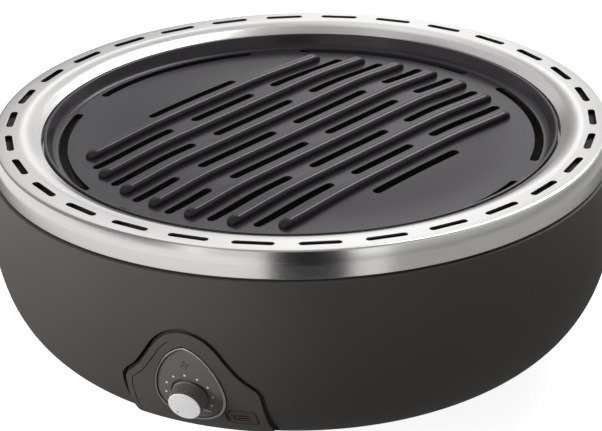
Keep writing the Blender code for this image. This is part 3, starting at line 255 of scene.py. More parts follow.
# Bowl, tray, basket and lid
bowl_sheet = 0.8 * MM
bowl_path = in_mm((33.0, 57.5), (33.0, 50.5), (60.0, 50.5), (93.9, 58.5), (124.6, 82.6),
                  (140.8, 122.7), (140.8, 130.7), (143.5, 130.7))
tray_path = in_mm((37.0, 58.0), (37.0, 51.6), (55.0, 51.6), (56.0, 58.0))
air_hole = 6.0 * MM
air_hole_pitch = 20.0 * MM
air_hole_counts = (1, 5, 8)
basket_low = 51.6 * MM
basket_top = 112.6 * MM
basket_floor = 13.0 * MM
basket_radius = 58.0 * MM
basket_rim = 2.0 * MM
basket_slot_width = 5.0 * MM
basket_slot_shares = ((0.35, 0.85), (0.04, 0.16))
lid_low = 112.9 * MM
lid_radius = 60.0 * MM
lid_lip = 3.0 * MM
lid_lip_radius = 56.6 * MM
lid_hole_circle = 36.0 * MM
handle_section = in_mm((0.0, 0.0), (7.0, 0.0), (6.6, 0.8), (3.4, 1.6), (3.0, 4.0), (6.2, 5.4), (7.0, 6.6),
                       (7.0, 7.9), (6.0, 9.0), (0.0, 9.0))

# Feet and base screws
foot_section = in_mm((0.0, 0.0), (6.4, 0.0), (6.9, 0.7), (7.4, 0.0), (8.4, 0.0), (9.0, 1.6), (9.0, 6.7),
                     (2.5, 6.7), (2.5, 12.2), (0.0, 12.2))
foot_place = 51.0 * MM
screw_low = 5.0 * MM
screw_section = in_mm((0.0, 5.0), (1.6, 5.0), (2.8, 5.9), (2.8, 6.7), (1.5, 6.7), (1.5, 16.7), (0.0, 16.7))
screw_cross = (3.0 * MM, 0.7 * MM)
cross_depth = 0.9 * MM
screw_circle = 84.0 * MM
screw_angles = (30.0, 150.0, 210.0, 330.0)

# Camera, solved from the photograph
image_width = 602
image_height = 431
camera_focal_pixels = 2511.7
camera_elevation = 22.681
camera_azimuth = 20.98
camera_distance = 1397.9 * MM
camera_roll = -1.390
camera_target_pixel = (302.85, 118.14)
sensor_width = 36.0

# Lamps: name, angle, distance, height, side, watts, and whether shiny surfaces mirror it
lamps = (
    ("key_lamp", 219.0, 1.6, 0.5, 0.8, 29.5, False),
    ("back_lamp", 70.0, 1.1, 1.38, 0.9, 15.5, True),
    ("slope_lamp", 138.0, 1.3, 1.2, 1.0, 1.3, True),
)
lamp_aim = Vector((0.0, 0.0, 0.08))

# Cards round the table: name, first and last angle, distance, foot, top, brightness
card_steps = 24
cards = (
    ("dark_card", -79.0, -56.0, 0.44, 0.0, 0.55, 0.005),
    ("strip_card", -57.0, -45.0, 0.445, 0.0, 0.3, 0.95),
    ("grey_card", -45.0, 58.0, 0.44, 0.0, 0.3, 0.46),
    ("back_card", 125.0, 165.0, 0.44, 0.0, 0.2, 0.4),
)
card_tones = ((0.0, 1.0), (0.045, 1.0), (0.09, 0.62), (0.16, 1.25), (0.3, 1.35))
# Dark disc on the floor under the grill that only shiny surfaces see: painted shadow, standing in for the
# grill's own shadow on the floor in what the steel and plastic mirror
painted_shadow_radius = 0.43
painted_shadow_lift = 0.4 * MM
painted_shadow_grey = 0.17
floor_radius = 8.0


def linear(code):
    """Turn an sRGB hex colour into Blender's linear RGBA."""
    values = []
    for start in (1, 3, 5):
        share = int(code[start:start + 2], 16) / 255.0
        values.append(share / 12.92 if share <= 0.04045 else ((share + 0.055) / 1.055) ** 2.4)
    return (*values, 1.0)


class GrillSizes(bpy.types.PropertyGroup):
    """Sizes of the visible detail."""

    slot_length: bpy.props.FloatProperty(
        name="Vent slot length", description="Length of each air slot in the collar",
        default=22.0 * MM, min=0.005, max=0.03, unit='LENGTH', precision=4)
    slot_width: bpy.props.FloatProperty(
        name="Vent slot width", description="Width of each air slot in the collar",
        default=4.0 * MM, min=0.001, max=0.008, unit='LENGTH', precision=4)
    slot_circle: bpy.props.FloatProperty(
        name="Vent slot circle", description="Radius of the circle that the slots lie on",
        default=161.5 * MM, min=0.155, max=0.165, unit='LENGTH', precision=4)
    rib_width: bpy.props.FloatProperty(
        name="Rib width", description="Width of a rib of the plate at its foot",
        default=7.6 * MM, min=0.003, max=0.012, unit='LENGTH', precision=4)
    rib_height: bpy.props.FloatProperty(
        name="Rib height", description="Height of a rib above the plate's floor",
        default=4.1 * MM, min=0.001, max=0.006, unit='LENGTH', precision=4)
    floor_slot_width: bpy.props.FloatProperty(
        name="Plate slot width", description="Width of the slots between the ribs",
        default=5.4 * MM, min=0.002, max=0.01, unit='LENGTH', precision=4)
    arc_slot_width: bpy.props.FloatProperty(
        name="Gutter slot width", description="Width of the long slots in the plate's gutter",
        default=5.0 * MM, min=0.002, max=0.008, unit='LENGTH', precision=4)
    ring_width: bpy.props.FloatProperty(
        name="Dial ring width", description="Width of the bright ring round the dial",
        default=1.3 * MM, min=0.0005, max=0.003, unit='LENGTH', precision=4)
    knurl_count: bpy.props.IntProperty(
        name="Knob ridges", description="Number of ridges round the knob", default=54, min=12, max=90)
    dot_radius: bpy.props.FloatProperty(
        name="Dial dot radius", description="Radius of each white dot on the dial",
        default=0.62 * MM, min=0.0002, max=0.0015, unit='LENGTH', precision=5)


class GrillColours(bpy.types.PropertyGroup):
    """Colours of the finishes."""

    steel: bpy.props.FloatVectorProperty(
        name="Brushed steel", description="Colour of the collar", subtype='COLOR', size=4,
        default=linear("#e2e0de"), min=0.0, max=1.0)
    housing: bpy.props.FloatVectorProperty(
        name="Housing", description="Colour of the matt belly and panel", subtype='COLOR', size=4,
        default=linear("#46423f"), min=0.0, max=1.0)
    base: bpy.props.FloatVectorProperty(
        name="Base", description="Colour of the underside's plastic", subtype='COLOR', size=4,
        default=linear("#262524"), min=0.0, max=1.0)
    dial: bpy.props.FloatVectorProperty(
        name="Dial", description="Colour of the dial plate", subtype='COLOR', size=4,
        default=linear("#67625e"), min=0.0, max=1.0)
    marks: bpy.props.FloatVectorProperty(
        name="Marks", description="Colour of the dial's dots", subtype='COLOR', size=4,
        default=linear("#e9e8e6"), min=0.0, max=1.0)
    coating: bpy.props.FloatVectorProperty(
        name="Non-stick coating", description="Colour of the grill plate", subtype='COLOR', size=4,
        default=linear("#2b292c"), min=0.0, max=1.0)
    sleeve: bpy.props.FloatVectorProperty(
        name="Cell sleeve", description="Colour of the battery cells", subtype='COLOR', size=4,
        default=linear("#61955f"), min=0.0, max=1.0)


def sizes():
    """The sizes set in the sidebar."""
    return bpy.context.scene.grill_sizes


def colour(name):
    """One of the colours set in the sidebar."""
    return tuple(getattr(bpy.context.scene.grill_colours, name))


# Shaping, as by hand in edit mode


def chosen(*items):
    """Select these objects alone and work on the first."""
    bpy.ops.object.select_all(action='DESELECT')
    for item in items:
        item.select_set(True)
    bpy.context.view_layer.objects.active = items[0]


def edit(item):
    """Select one object alone and open its mesh."""
    chosen(item)
    bpy.ops.object.mode_set(mode='EDIT')


def leave():
    """Close the mesh."""
    bpy.ops.object.mode_set(mode='OBJECT')


def all_of_it():
    """Select the whole of the open mesh."""
    bpy.ops.mesh.select_all(action='SELECT')


def pick(item, kind, test):
    """Select the vertices or faces that pass a test by their place or normal."""
    bpy.ops.mesh.select_mode(type=kind)
    bpy.ops.mesh.select_all(action='DESELECT')
    work = bmesh.from_edit_mesh(item.data)
    for part in work.verts if kind == 'VERT' else work.faces:
        if test(part):
            part.select_set(True)
    work.select_flush_mode()
    bmesh.update_edit_mesh(item.data)


def drawn(name, points, closed=True):
    """Draw a line point by point and close it into a loop; its mesh stays open for editing."""
    bpy.ops.object.select_all(action='DESELECT')
    bpy.ops.mesh.primitive_plane_add(size=MM)
    item = bpy.context.object
    item.name = item.data.name = name
    bpy.ops.object.mode_set(mode='EDIT')
    bpy.ops.mesh.select_mode(type='VERT')
    all_of_it()
    bpy.ops.mesh.merge(type='CENTER')
    bpy.ops.transform.translate(value=points[0])
    for before, after in zip(points, points[1:]):
        step = tuple(b - a for a, b in zip(before, after))
        bpy.ops.mesh.extrude_region_move(TRANSFORM_OT_translate={"value": step})
    if closed:
        first, last = Vector(points[0]), Vector(points[-1])
        pick(item, 'VERT', lambda v: min((v.co - first).length, (v.co - last).length) < weld)
        bpy.ops.mesh.edge_face_add()
    return item


def turned(name, section, steps):
    """Draw a closed section of radius and height and spin it round the upright axis."""
    item = drawn(name, [(radius, 0.0, height) for radius, height in section])
    all_of_it()
    bpy.ops.mesh.spin(steps=steps, angle=2.0 * math.pi, center=(0.0, 0.0, 0.0), axis=(0.0, 0.0, 1.0))
    tidy_faces()
    return item


def tidy_faces():
    """Merge what lies on one point, turn all faces outward and close the mesh."""
    all_of_it()
    bpy.ops.mesh.remove_doubles(threshold=weld)
    all_of_it()
    bpy.ops.mesh.delete_loose()
    all_of_it()
    bpy.ops.mesh.normals_make_consistent(inside=False)
    leave()


def pulled(name, loop, step):
    """Draw a loop, fill it and pull it one straight step into a solid."""
    item = drawn(name, loop)
    all_of_it()
    bpy.ops.mesh.edge_face_add()
    bpy.ops.mesh.extrude_region_move(TRANSFORM_OT_translate={"value": step})
    tidy_faces()
    return item


def raised(name, outline, low, high):
    """Solid between two heights over a plan outline."""
    return pulled(name, [(x, y, low) for x, y in outline], (0.0, 0.0, high - low))


def moved(item, matrix):
    """Move the mesh itself, so the object stays at the origin."""
    item.data.transform(matrix)
    item.data.update()
    return item


def turn(degrees):
    """Matrix of a turn about the upright axis."""
    return Matrix.Rotation(math.radians(degrees), 4, 'Z')


def shift(x, y, z):
    """Matrix of a straight move."""
    return Matrix.Translation((x, y, z))


def applied(item, modifier):
    """Apply one modifier."""
    chosen(item)
    bpy.ops.object.modifier_apply(modifier=modifier.name)


def cut(item, cutter):
    """Take a cutter away from a piece."""
    modifier = item.modifiers.new("cut", 'BOOLEAN')
    modifier.operation = 'DIFFERENCE'
    modifier.solver = 'EXACT'
    modifier.object = cutter
    applied(item, modifier)
    bpy.data.objects.remove(cutter, do_unlink=True)
    return item


def softened(item, width, steps, angle):
    """Round the sharp edges."""
    modifier = item.modifiers.new("edge", 'BEVEL')
    modifier.width = width
    modifier.segments = steps
    modifier.limit_method = 'ANGLE'
    modifier.angle_limit = math.radians(angle)
    applied(item, modifier)


def joined(name, items):
    """Join several meshes into one object."""
    chosen(*items)
    bpy.ops.object.join()
    items[0].name = items[0].data.name = name
    return items[0]


def copied(item, matrix):
    """Copy a piece with its own mesh, moved to another place."""
    twin = item.copy()
    twin.data = item.data.copy()
    bpy.context.collection.objects.link(twin)
    return moved(twin, matrix)


def repeated(item, places):
    """Copy a piece to each place and drop the first."""
    twins = [copied(item, place) for place in places]
    bpy.data.objects.remove(item, do_unlink=True)
    return twins


def complete(item, body, material, nodes=(), angle=32.0):
    """Smooth a piece, give it its finish and let it ride in place of its CAD nodes."""
    chosen(item)
    bpy.ops.object.shade_smooth_by_angle(angle=math.radians(angle))
    even = item.modifiers.new("even", 'WEIGHTED_NORMAL')
    even.keep_sharp = True
    applied(item, even)
    item.data.materials.clear()
    item.data.materials.append(material)
    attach(item, body)
    if nodes:
        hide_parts(*nodes)


# Outlines and the belly's curve


def sheet(path, thickness):
    """Closed section of a sheet to the left of a path, or to its right when negative."""
    offset = []
    for index, here in enumerate(path):
        here = Vector(here)
        before = Vector(path[max(index - 1, 0)])
        after = Vector(path[min(index + 1, len(path) - 1)])
        incoming = (here - before).normalized() if index else (after - here).normalized()
        outgoing = (after - here).normalized() if index < len(path) - 1 else incoming
        first = Vector((-incoming.y, incoming.x))
        second = Vector((-outgoing.y, outgoing.x))
        bisector = (first + second).normalized()
        point = here + bisector * (thickness / bisector.dot(first))
        offset.append((point.x, point.y))
    return list(path) + offset[::-1]


def quadratic(path, steps):
    """Curve from the first to the last of three points, drawn toward the middle one."""
    first, middle, last = (Vector(point) for point in path)
    points = []
    for step in range(steps + 1):
        share = step / steps
        point = first * (1.0 - share) ** 2 + middle * 2.0 * share * (1.0 - share) + last * share ** 2
        points.append((point.x, point.y))
    return points


def rounded(path, radius, steps):
    """Replace the inner corners of a path by curves."""
    result = [path[0]]
    for before, here, after in zip(path, path[1:], path[2:]):
        here, before, after = Vector(here), Vector(before), Vector(after)
        reach = min(radius, (before - here).length * 0.48, (after - here).length * 0.48)
        start = here + (before - here).normalized() * reach
        end = here + (after - here).normalized() * reach
        result += quadratic([start, here, end], steps)
    return result + [path[-1]]


def slot_outline(start, end, width, steps=8):
    """Round-ended slot along X."""
    half = width / 2.0
    points = []
    for middle, first in ((end - half, -90.0), (start + half, 90.0)):
        for step in range(steps + 1):
            angle = math.radians(first + 180.0 * step / steps)
            points.append((middle + half * math.cos(angle), half * math.sin(angle)))
    return points


def rounded_box(width, height, corner, steps=5):
    """Rectangle with round corners about the origin."""
    points = []
    for quarter in range(4):
        side_x = 1.0 if quarter in (0, 3) else -1.0
        side_y = 1.0 if quarter in (0, 1) else -1.0
        for step in range(steps + 1):
            angle = (quarter + step / steps) * math.pi / 2.0
            x = side_x * (width / 2.0 - corner) + corner * math.cos(angle)
            y = side_y * (height / 2.0 - corner) + corner * math.sin(angle)
            points.append((x, y))
    return points


def placed(outline, across, up):
    """Outline moved to another place."""
    return [(across + x, up + y) for x, y in outline]


def grown(outline, distance):
    """Outline moved outward by a distance, or inward when negative."""
    area = sum(a[0] * b[1] - b[0] * a[1] for a, b in zip(outline, outline[1:] + outline[:1]))
    sign = 1.0 if area > 0.0 else -1.0
    result = []
    for index, point in enumerate(outline):
        here = Vector(point)
        before = Vector(outline[index - 1])
        after = Vector(outline[(index + 1) % len(outline)])
        first, second = (here - before).normalized(), (after - here).normalized()
        first_normal = Vector((first.y, -first.x)) * sign
        second_normal = Vector((second.y, -second.x)) * sign
        bisector = (first_normal + second_normal).normalized()
        out = here + bisector * (distance / max(bisector.dot(first_normal), 0.5))
        result.append((out.x, out.y))
    return result


def curve_through(points, steps):
    """Smooth line through points, ends included."""
    result = []
    for index in range(len(points) - 1):
        p1, p2 = Vector(points[index]), Vector(points[index + 1])
        p0 = Vector(points[index - 1]) if index else p1
        p3 = Vector(points[index + 2]) if index + 2 < len(points) else p2
        for step in range(steps):
            t = step / steps
            near = (p2 - p0) * 0.5
            far = (p3 - p1) * 0.5
            point = p1 * (2 * t ** 3 - 3 * t ** 2 + 1) + near * (t ** 3 - 2 * t ** 2 + t)
            point += p2 * (3 * t ** 2 - 2 * t ** 3) + far * (t ** 3 - t ** 2)
            result.append((point.x, point.y))
    return result + [tuple(points[-1])]


def panel_outline():
    """Mountain-shaped outline of the control panel in arc and height."""
    rise = panel_top - panel_bottom
    corners = [(arc * panel_half_width, panel_bottom + up * rise) for arc, up in panel_shares]
    mirrored = [(-corners[1][0], corners[1][1])] + corners
    right = curve_through(mirrored, 4)[4:]
    left = [(-arc, height) for arc, height in right[:0:-1]]
    return right + left


def dial_outline(inset):
    """Egg outline of the dial, moved inward by an inset."""
    points = []
    for index in range(dial_points):
        angle = 2.0 * math.pi * index / dial_points
        across, up = math.cos(angle), math.sin(angle)
        if up > 0.0:
            arc = math.copysign(abs(across) ** (2.0 / dial_powers[0]), across)
            rise = up ** (2.0 / dial_powers[1]) * (dial_above - inset)
        else:
            arc = across
            rise = up * (dial_half_width - inset)
        points.append((arc * (dial_half_width - inset), dial_height + rise))
    return points


def belly_at(share):
    """Radius and height of the belly at a share of its curve, from the rim down."""
    corners = (
        (housing_top_radius, housing_top_height),
        (housing_top_radius + housing_bulge[0], housing_top_height - housing_bulge[1]),
        (housing_top_radius + housing_turn_in, housing_bottom_height),
        (housing_foot_radius, housing_bottom_height),
    )
    rest = 1.0 - share
    weights = (rest ** 3, 3.0 * rest * rest * share, 3.0 * rest * share * share, share ** 3)
    radius = sum(weight * corner[0] for weight, corner in zip(weights, corners))
    height = sum(weight * corner[1] for weight, corner in zip(weights, corners))
    return radius, height


def belly_radius(height):
    """Outer radius of the housing at a height, found by halving the curve."""
    low, high = 0.0, 1.0
    for _ in range(belly_halvings):
        middle = (low + high) / 2.0
        if belly_at(middle)[1] > height:
            low = middle
        else:
            high = middle
    return belly_at((low + high) / 2.0)[0]


def swell(height):
    """How far the control panel's face stands out of the belly."""
    share = max(0.0, panel_bottom + panel_swell_height - height) / panel_swell_height
    return panel_swell * share ** panel_swell_power


def belly_point(arc, height, depth):
    """Point on the belly at an arc length from the panel's centre line."""
    radius = belly_radius(height)
    angle = arc / radius
    reach = radius + depth
    return Vector((reach * math.sin(angle), -reach * math.cos(angle), height))


def flat_solid(name, outline, back, front):
    """Solid in the belly's unrolled plane: arc along X, height along Z, outward along -Y."""
    return pulled(name, [(arc, -back, height) for arc, height in outline], (0.0, back - front, 0.0))


def bent(item, swelling, pitch=belly_pitch):
    """Cut an unrolled solid into strips and lay it on the belly, or on the panel's swollen face."""
    edit(item)
    all_of_it()
    bpy.ops.mesh.quads_convert_to_tris()
    for axis in (0, 2):
        low, high = (corner[axis] for corner in extent(item))
        count = max(2, math.ceil((high - low) / pitch))
        for index in range(1, count):
            place, normal = [0.0, 0.0, 0.0], [0.0, 0.0, 0.0]
            place[axis], normal[axis] = low + (high - low) * index / count, 1.0
            all_of_it()
            bpy.ops.mesh.bisect(plane_co=place, plane_no=normal, threshold=weld)
    leave()
    for vertex in item.data.vertices:
        arc, depth, height = vertex.co.x, -vertex.co.y, vertex.co.z
        vertex.co = belly_point(arc, height, depth + swell(height) * swelling)
    item.data.update()
    return item


def extent(item):
    """Lowest and highest corner of a mesh that is open for editing."""
    work = bmesh.from_edit_mesh(item.data)
    points = [vertex.co for vertex in work.verts]
    low = Vector([min(point[i] for point in points) for i in range(3)])
    high = Vector([max(point[i] for point in points) for i in range(3)])
    return low, high


def dial_matrix():
    """Frame at the knob: X to the right, Y up the panel, Z out of it."""
    tilt = math.radians(knob_tilt)
    reach = belly_radius(knob_height) + swell(knob_height) - dial_sink
    right = Vector((1.0, 0.0, 0.0))
    out = Vector((0.0, -math.cos(tilt), -math.sin(tilt)))
    up = Vector((0.0, -math.sin(tilt), math.cos(tilt)))
    rows = [(right[i], up[i], out[i], (0.0, -reach, knob_height)[i]) for i in range(3)]
    return Matrix(rows + [(0.0, 0.0, 0.0, 1.0)])


# Materials


def add(tree, kind, inputs=None, **settings):
    """Add one node with its settings; an input is a value, or a node and the name of its output."""
    node = tree.nodes.new(kind)
    for key, value in settings.items():
        setattr(node, key, value)
    for key, source in (inputs or {}).items():
        if isinstance(source, tuple) and isinstance(source[0], bpy.types.Node):
            tree.links.new(source[0].outputs[source[1]], node.inputs[key])
        else:
            node.inputs[key].default_value = source
    return node


def blank(name):
    """New material without a shader, its tree and the object's own coordinates."""
    material = bpy.data.materials.new(name)
    material.use_nodes = True
    tree = material.node_tree
    tree.nodes.clear()
    return material, tree, (add(tree, 'ShaderNodeTexCoord'), "Object")


def surfaced(material, source):
    """Link a shader to the material's surface."""
    add(material.node_tree, 'ShaderNodeOutputMaterial', {"Surface": source})
    return material


def stops(ramp, *pairs):
    """Set the colour stops of a ramp."""
    elements = ramp.color_ramp.elements
    while len(elements) > len(pairs):
        elements.remove(elements[-1])
    while len(elements) < len(pairs):
        elements.new(1.0)
    for element, (place, value) in zip(elements, pairs):
        element.position = place
        element.color = value if isinstance(value, tuple) else (value, value, value, 1.0)
    return ramp


def shade(value, factor):
    """The same colour, lighter or darker."""
    return tuple(min(1.0, channel * factor) for channel in value[:3]) + (1.0,)


def brushed_stainless(name, tint, rough=0.2, streak=0.35 * MM, streak_turns=7.0, haze_size=71.4 * MM):
    """Stainless steel brushed round the ring: fine streaks run with the band and blur what it mirrors."""
    material, tree, here = blank(name)
    flat = add(tree, 'ShaderNodeVectorMath', {0: here, 1: (1.0, 1.0, 0.0)}, operation='MULTIPLY')
    radius = add(tree, 'ShaderNodeVectorMath', {0: (flat, "Vector")}, operation='LENGTH')
    around = add(tree, 'ShaderNodeVectorMath', {0: (flat, "Vector")}, operation='NORMALIZE')
    drift = add(tree, 'ShaderNodeVectorMath', {
        0: (around, "Vector"), "Scale": streak_turns}, operation='SCALE')
    height = add(tree, 'ShaderNodeSeparateXYZ', {0: here})
    across = add(tree, 'ShaderNodeCombineXYZ', {"X": (radius, "Value"), "Y": (height, "Z")})
    fine = add(tree, 'ShaderNodeVectorMath', {
        0: (across, "Vector"), "Scale": 1.0 / streak}, operation='SCALE')
    where = add(tree, 'ShaderNodeVectorMath', {0: (fine, "Vector"), 1: (drift, "Vector")}, operation='ADD')
    grain = add(tree, 'ShaderNodeTexNoise', {
        "Vector": (where, "Vector"), "Scale": 1.0, "Detail": 3.0, "Roughness": 0.6})
    cloud = add(tree, 'ShaderNodeTexNoise', {"Vector": here, "Scale": 1.0 / haze_size, "Detail": 2.0})
    ramp = stops(add(tree, 'ShaderNodeValToRGB', {"Fac": (grain, "Fac")}),
                 (0.3, shade(tint, 0.86)), (0.7, tint))
    dull = add(tree, 'ShaderNodeMapRange', {
        "Value": (grain, "Fac"), "To Min": rough - 0.06, "To Max": rough + 0.08})
    haze = add(tree, 'ShaderNodeMapRange', {"Value": (cloud, "Fac"), "To Min": -0.03, "To Max": 0.03})
    total = add(tree, 'ShaderNodeMath', {0: (dull, "Result"), 1: (haze, "Result")}, operation='ADD')
    bump = add(tree, 'ShaderNodeBump', {"Height": (grain, "Fac"), "Strength": 0.16, "Distance": 0.03 * MM})
    shader = add(tree, 'ShaderNodeBsdfPrincipled', {
        "Base Color": (ramp, "Color"), "Metallic": 1.0, "Roughness": (total, "Value"),
        "Normal": (bump, "Normal")})
    return surfaced(material, (shader, "BSDF"))


def pressed_stainless(name, tint, rough=0.2, cloud_size=22.2 * MM, mark_width=1.43 * MM):
    """Bright stainless sheet, pressed, not brushed: mirror-like, with soft clouding and faint draw marks."""
    material, tree, here = blank(name)
    cloud = add(tree, 'ShaderNodeTexNoise', {"Vector": here, "Scale": 1.0 / cloud_size, "Detail": 4.0})
    pull = add(tree, 'ShaderNodeMapping', {"Vector": here, "Scale": (1.0, 1.0, 0.08)})
    draw = add(tree, 'ShaderNodeTexNoise', {
        "Vector": (pull, "Vector"), "Scale": 1.0 / mark_width, "Detail": 2.0})
    ramp = stops(add(tree, 'ShaderNodeValToRGB', {"Fac": (cloud, "Fac")}),
                 (0.25, shade(tint, 0.8)), (0.75, tint))
    dull = add(tree, 'ShaderNodeMapRange', {
        "Value": (draw, "Fac"), "To Min": rough - 0.05, "To Max": rough + 0.12})
    bump = add(tree, 'ShaderNodeBump', {"Height": (draw, "Fac"), "Strength": 0.1, "Distance": 0.02 * MM})
    shader = add(tree, 'ShaderNodeBsdfPrincipled', {
        "Base Color": (ramp, "Color"), "Metallic": 1.0, "Roughness": (dull, "Result"),
        "Normal": (bump, "Normal")})
    return surfaced(material, (shader, "BSDF"))


def moulded_plastic(name, tint, rough=0.5, grit=0.45 * MM, level=0.5, cloud_size=111.0 * MM):
    """Injection-moulded plastic with a spark-eroded skin: matt, finely pebbled, uneven in gloss."""
    material, tree, here = blank(name)
    pebble = add(tree, 'ShaderNodeTexNoise', {
        "Vector": here, "Scale": 1.0 / grit, "Detail": 2.0, "Roughness": 0.55})
    cloud = add(tree, 'ShaderNodeTexNoise', {"Vector": here, "Scale": 1.0 / cloud_size, "Detail": 3.0})
    ramp = stops(add(tree, 'ShaderNodeValToRGB', {"Fac": (cloud, "Fac")}),
                 (0.3, shade(tint, 0.92)), (0.7, shade(tint, 1.06)))
    dull = add(tree, 'ShaderNodeMapRange', {
        "Value": (pebble, "Fac"), "To Min": rough - 0.06, "To Max": rough + 0.08})
    bump = add(tree, 'ShaderNodeBump', {"Height": (pebble, "Fac"), "Strength": 0.35, "Distance": 0.03 * MM})
    shader = add(tree, 'ShaderNodeBsdfPrincipled', {
        "Base Color": (ramp, "Color"), "Roughness": (dull, "Result"), "IOR": 1.5,
        "Specular IOR Level": level, "Normal": (bump, "Normal")})
    return surfaced(material, (shader, "BSDF"))


def nonstick_coating(name, tint, peel_size=1.6 * MM, speck_size=0.5 * MM, cloud_size=55.6 * MM):
    """Sprayed coating on cast aluminium: dark and satin, with a light orange peel and a faint violet sheen."""
    material, tree, here = blank(name)
    peel = add(tree, 'ShaderNodeTexNoise', {"Vector": here, "Scale": 1.0 / peel_size, "Detail": 2.0})
    speck = add(tree, 'ShaderNodeTexNoise', {"Vector": here, "Scale": 1.0 / speck_size, "Detail": 1.0})
    cloud = add(tree, 'ShaderNodeTexNoise', {"Vector": here, "Scale": 1.0 / cloud_size, "Detail": 3.0})
    ramp = stops(add(tree, 'ShaderNodeValToRGB', {"Fac": (speck, "Fac")}),
                 (0.35, shade(tint, 0.85)), (0.8, shade(tint, 1.25)))
    dull = add(tree, 'ShaderNodeMapRange', {"Value": (cloud, "Fac"), "To Min": 0.19, "To Max": 0.29})
    bump = add(tree, 'ShaderNodeBump', {"Height": (peel, "Fac"), "Strength": 0.22, "Distance": 0.06 * MM})
    shader = add(tree, 'ShaderNodeBsdfPrincipled', {
        "Base Color": (ramp, "Color"), "Roughness": (dull, "Result"), "IOR": 1.5, "Specular IOR Level": 0.27,
        "Specular Tint": linear("#fff2ff"), "Coat Weight": 0.09, "Coat Roughness": 0.14,
        "Normal": (bump, "Normal")})
    return surfaced(material, (shader, "BSDF"))


def polished_chrome(name, haze_size=3.85 * MM):
    """Chrome plating on a moulded ring: a near mirror with the faintest haze."""
    material, tree, here = blank(name)
    haze = add(tree, 'ShaderNodeTexNoise', {"Vector": here, "Scale": 1.0 / haze_size, "Detail": 2.0})
    ramp = stops(add(tree, 'ShaderNodeValToRGB', {"Fac": (haze, "Fac")}),
                 (0.3, linear("#dcdcdc")), (0.7, linear("#eeeeee")))
    dull = add(tree, 'ShaderNodeMapRange', {"Value": (haze, "Fac"), "To Min": 0.04, "To Max": 0.12})
    shader = add(tree, 'ShaderNodeBsdfPrincipled', {
        "Base Color": (ramp, "Color"), "Metallic": 1.0, "Roughness": (dull, "Result")})
    return surfaced(material, (shader, "BSDF"))


def satin_aluminium(name, blast=0.3 * MM):
    """Bead-blasted, clear-anodised aluminium: pale and silky, with a very fine even grain."""
    material, tree, here = blank(name)
    grain = add(tree, 'ShaderNodeTexNoise', {"Vector": here, "Scale": 1.0 / blast, "Detail": 2.0})
    ramp = stops(add(tree, 'ShaderNodeValToRGB', {"Fac": (grain, "Fac")}),
                 (0.3, linear("#f3f1f3")), (0.7, linear("#fbfafb")))
    bump = add(tree, 'ShaderNodeBump', {"Height": (grain, "Fac"), "Strength": 0.2, "Distance": 0.02 * MM})
    dull = add(tree, 'ShaderNodeMapRange', {"Value": (grain, "Fac"), "To Min": 0.36, "To Max": 0.48})
    shader = add(tree, 'ShaderNodeBsdfPrincipled', {
        "Base Color": (ramp, "Color"), "Metallic": 0.15, "Roughness": (dull, "Result"),
        "Normal": (bump, "Normal")})
    return surfaced(material, (shader, "BSDF"))


def zinc_plate(name, spangle_size=0.9 * MM):
    """Zinc-plated steel: grey-white with faint yellowish spangle."""
    material, tree, here = blank(name)
    spangle = add(tree, 'ShaderNodeTexVoronoi', {"Vector": here, "Scale": 1.0 / spangle_size})
    ramp = stops(add(tree, 'ShaderNodeValToRGB', {"Fac": (spangle, "Distance")}),
                 (0.1, linear("#a9a79d")), (0.8, linear("#c9c8c2")))
    dull = add(tree, 'ShaderNodeMapRange', {"Value": (spangle, "Distance"), "To Min": 0.28, "To Max": 0.42})
    shader = add(tree, 'ShaderNodeBsdfPrincipled', {
        "Base Color": (ramp, "Color"), "Metallic": 1.0, "Roughness": (dull, "Result")})
    return surfaced(material, (shader, "BSDF"))


def soft_rubber(name, dark="#222222", pale="#302f2e", dust=0.5 * MM):
    """Moulded TPE rubber: very matt and faintly dusty."""
    material, tree, here = blank(name)
    grain = add(tree, 'ShaderNodeTexNoise', {"Vector": here, "Scale": 1.0 / dust, "Detail": 3.0})
    ramp = stops(add(tree, 'ShaderNodeValToRGB', {"Fac": (grain, "Fac")}),
                 (0.3, linear(dark)), (0.8, linear(pale)))
    bump = add(tree, 'ShaderNodeBump', {"Height": (grain, "Fac"), "Strength": 0.3, "Distance": 0.03 * MM})
    shader = add(tree, 'ShaderNodeBsdfPrincipled', {
        "Base Color": (ramp, "Color"), "Roughness": 0.82, "Specular IOR Level": 0.3,
        "Normal": (bump, "Normal")})
    return surfaced(material, (shader, "BSDF"))


def solder_mask(name, weave_size=2.4 * MM):
    """Glass-fibre board under green solder mask: glossy, with the weave just showing."""
    material, tree, here = blank(name)
    weave = add(tree, 'ShaderNodeTexWave', {
        "Vector": here, "Scale": 1.0 / weave_size, "Distortion": 1.0}, bands_direction='DIAGONAL')
    ramp = stops(add(tree, 'ShaderNodeValToRGB', {"Fac": (weave, "Fac")}),
                 (0.2, linear("#1d5c35")), (0.8, linear("#27713f")))
    shader = add(tree, 'ShaderNodeBsdfPrincipled', {
        "Base Color": (ramp, "Color"), "Roughness": 0.3, "Coat Weight": 0.4})
    return surfaced(material, (shader, "BSDF"))


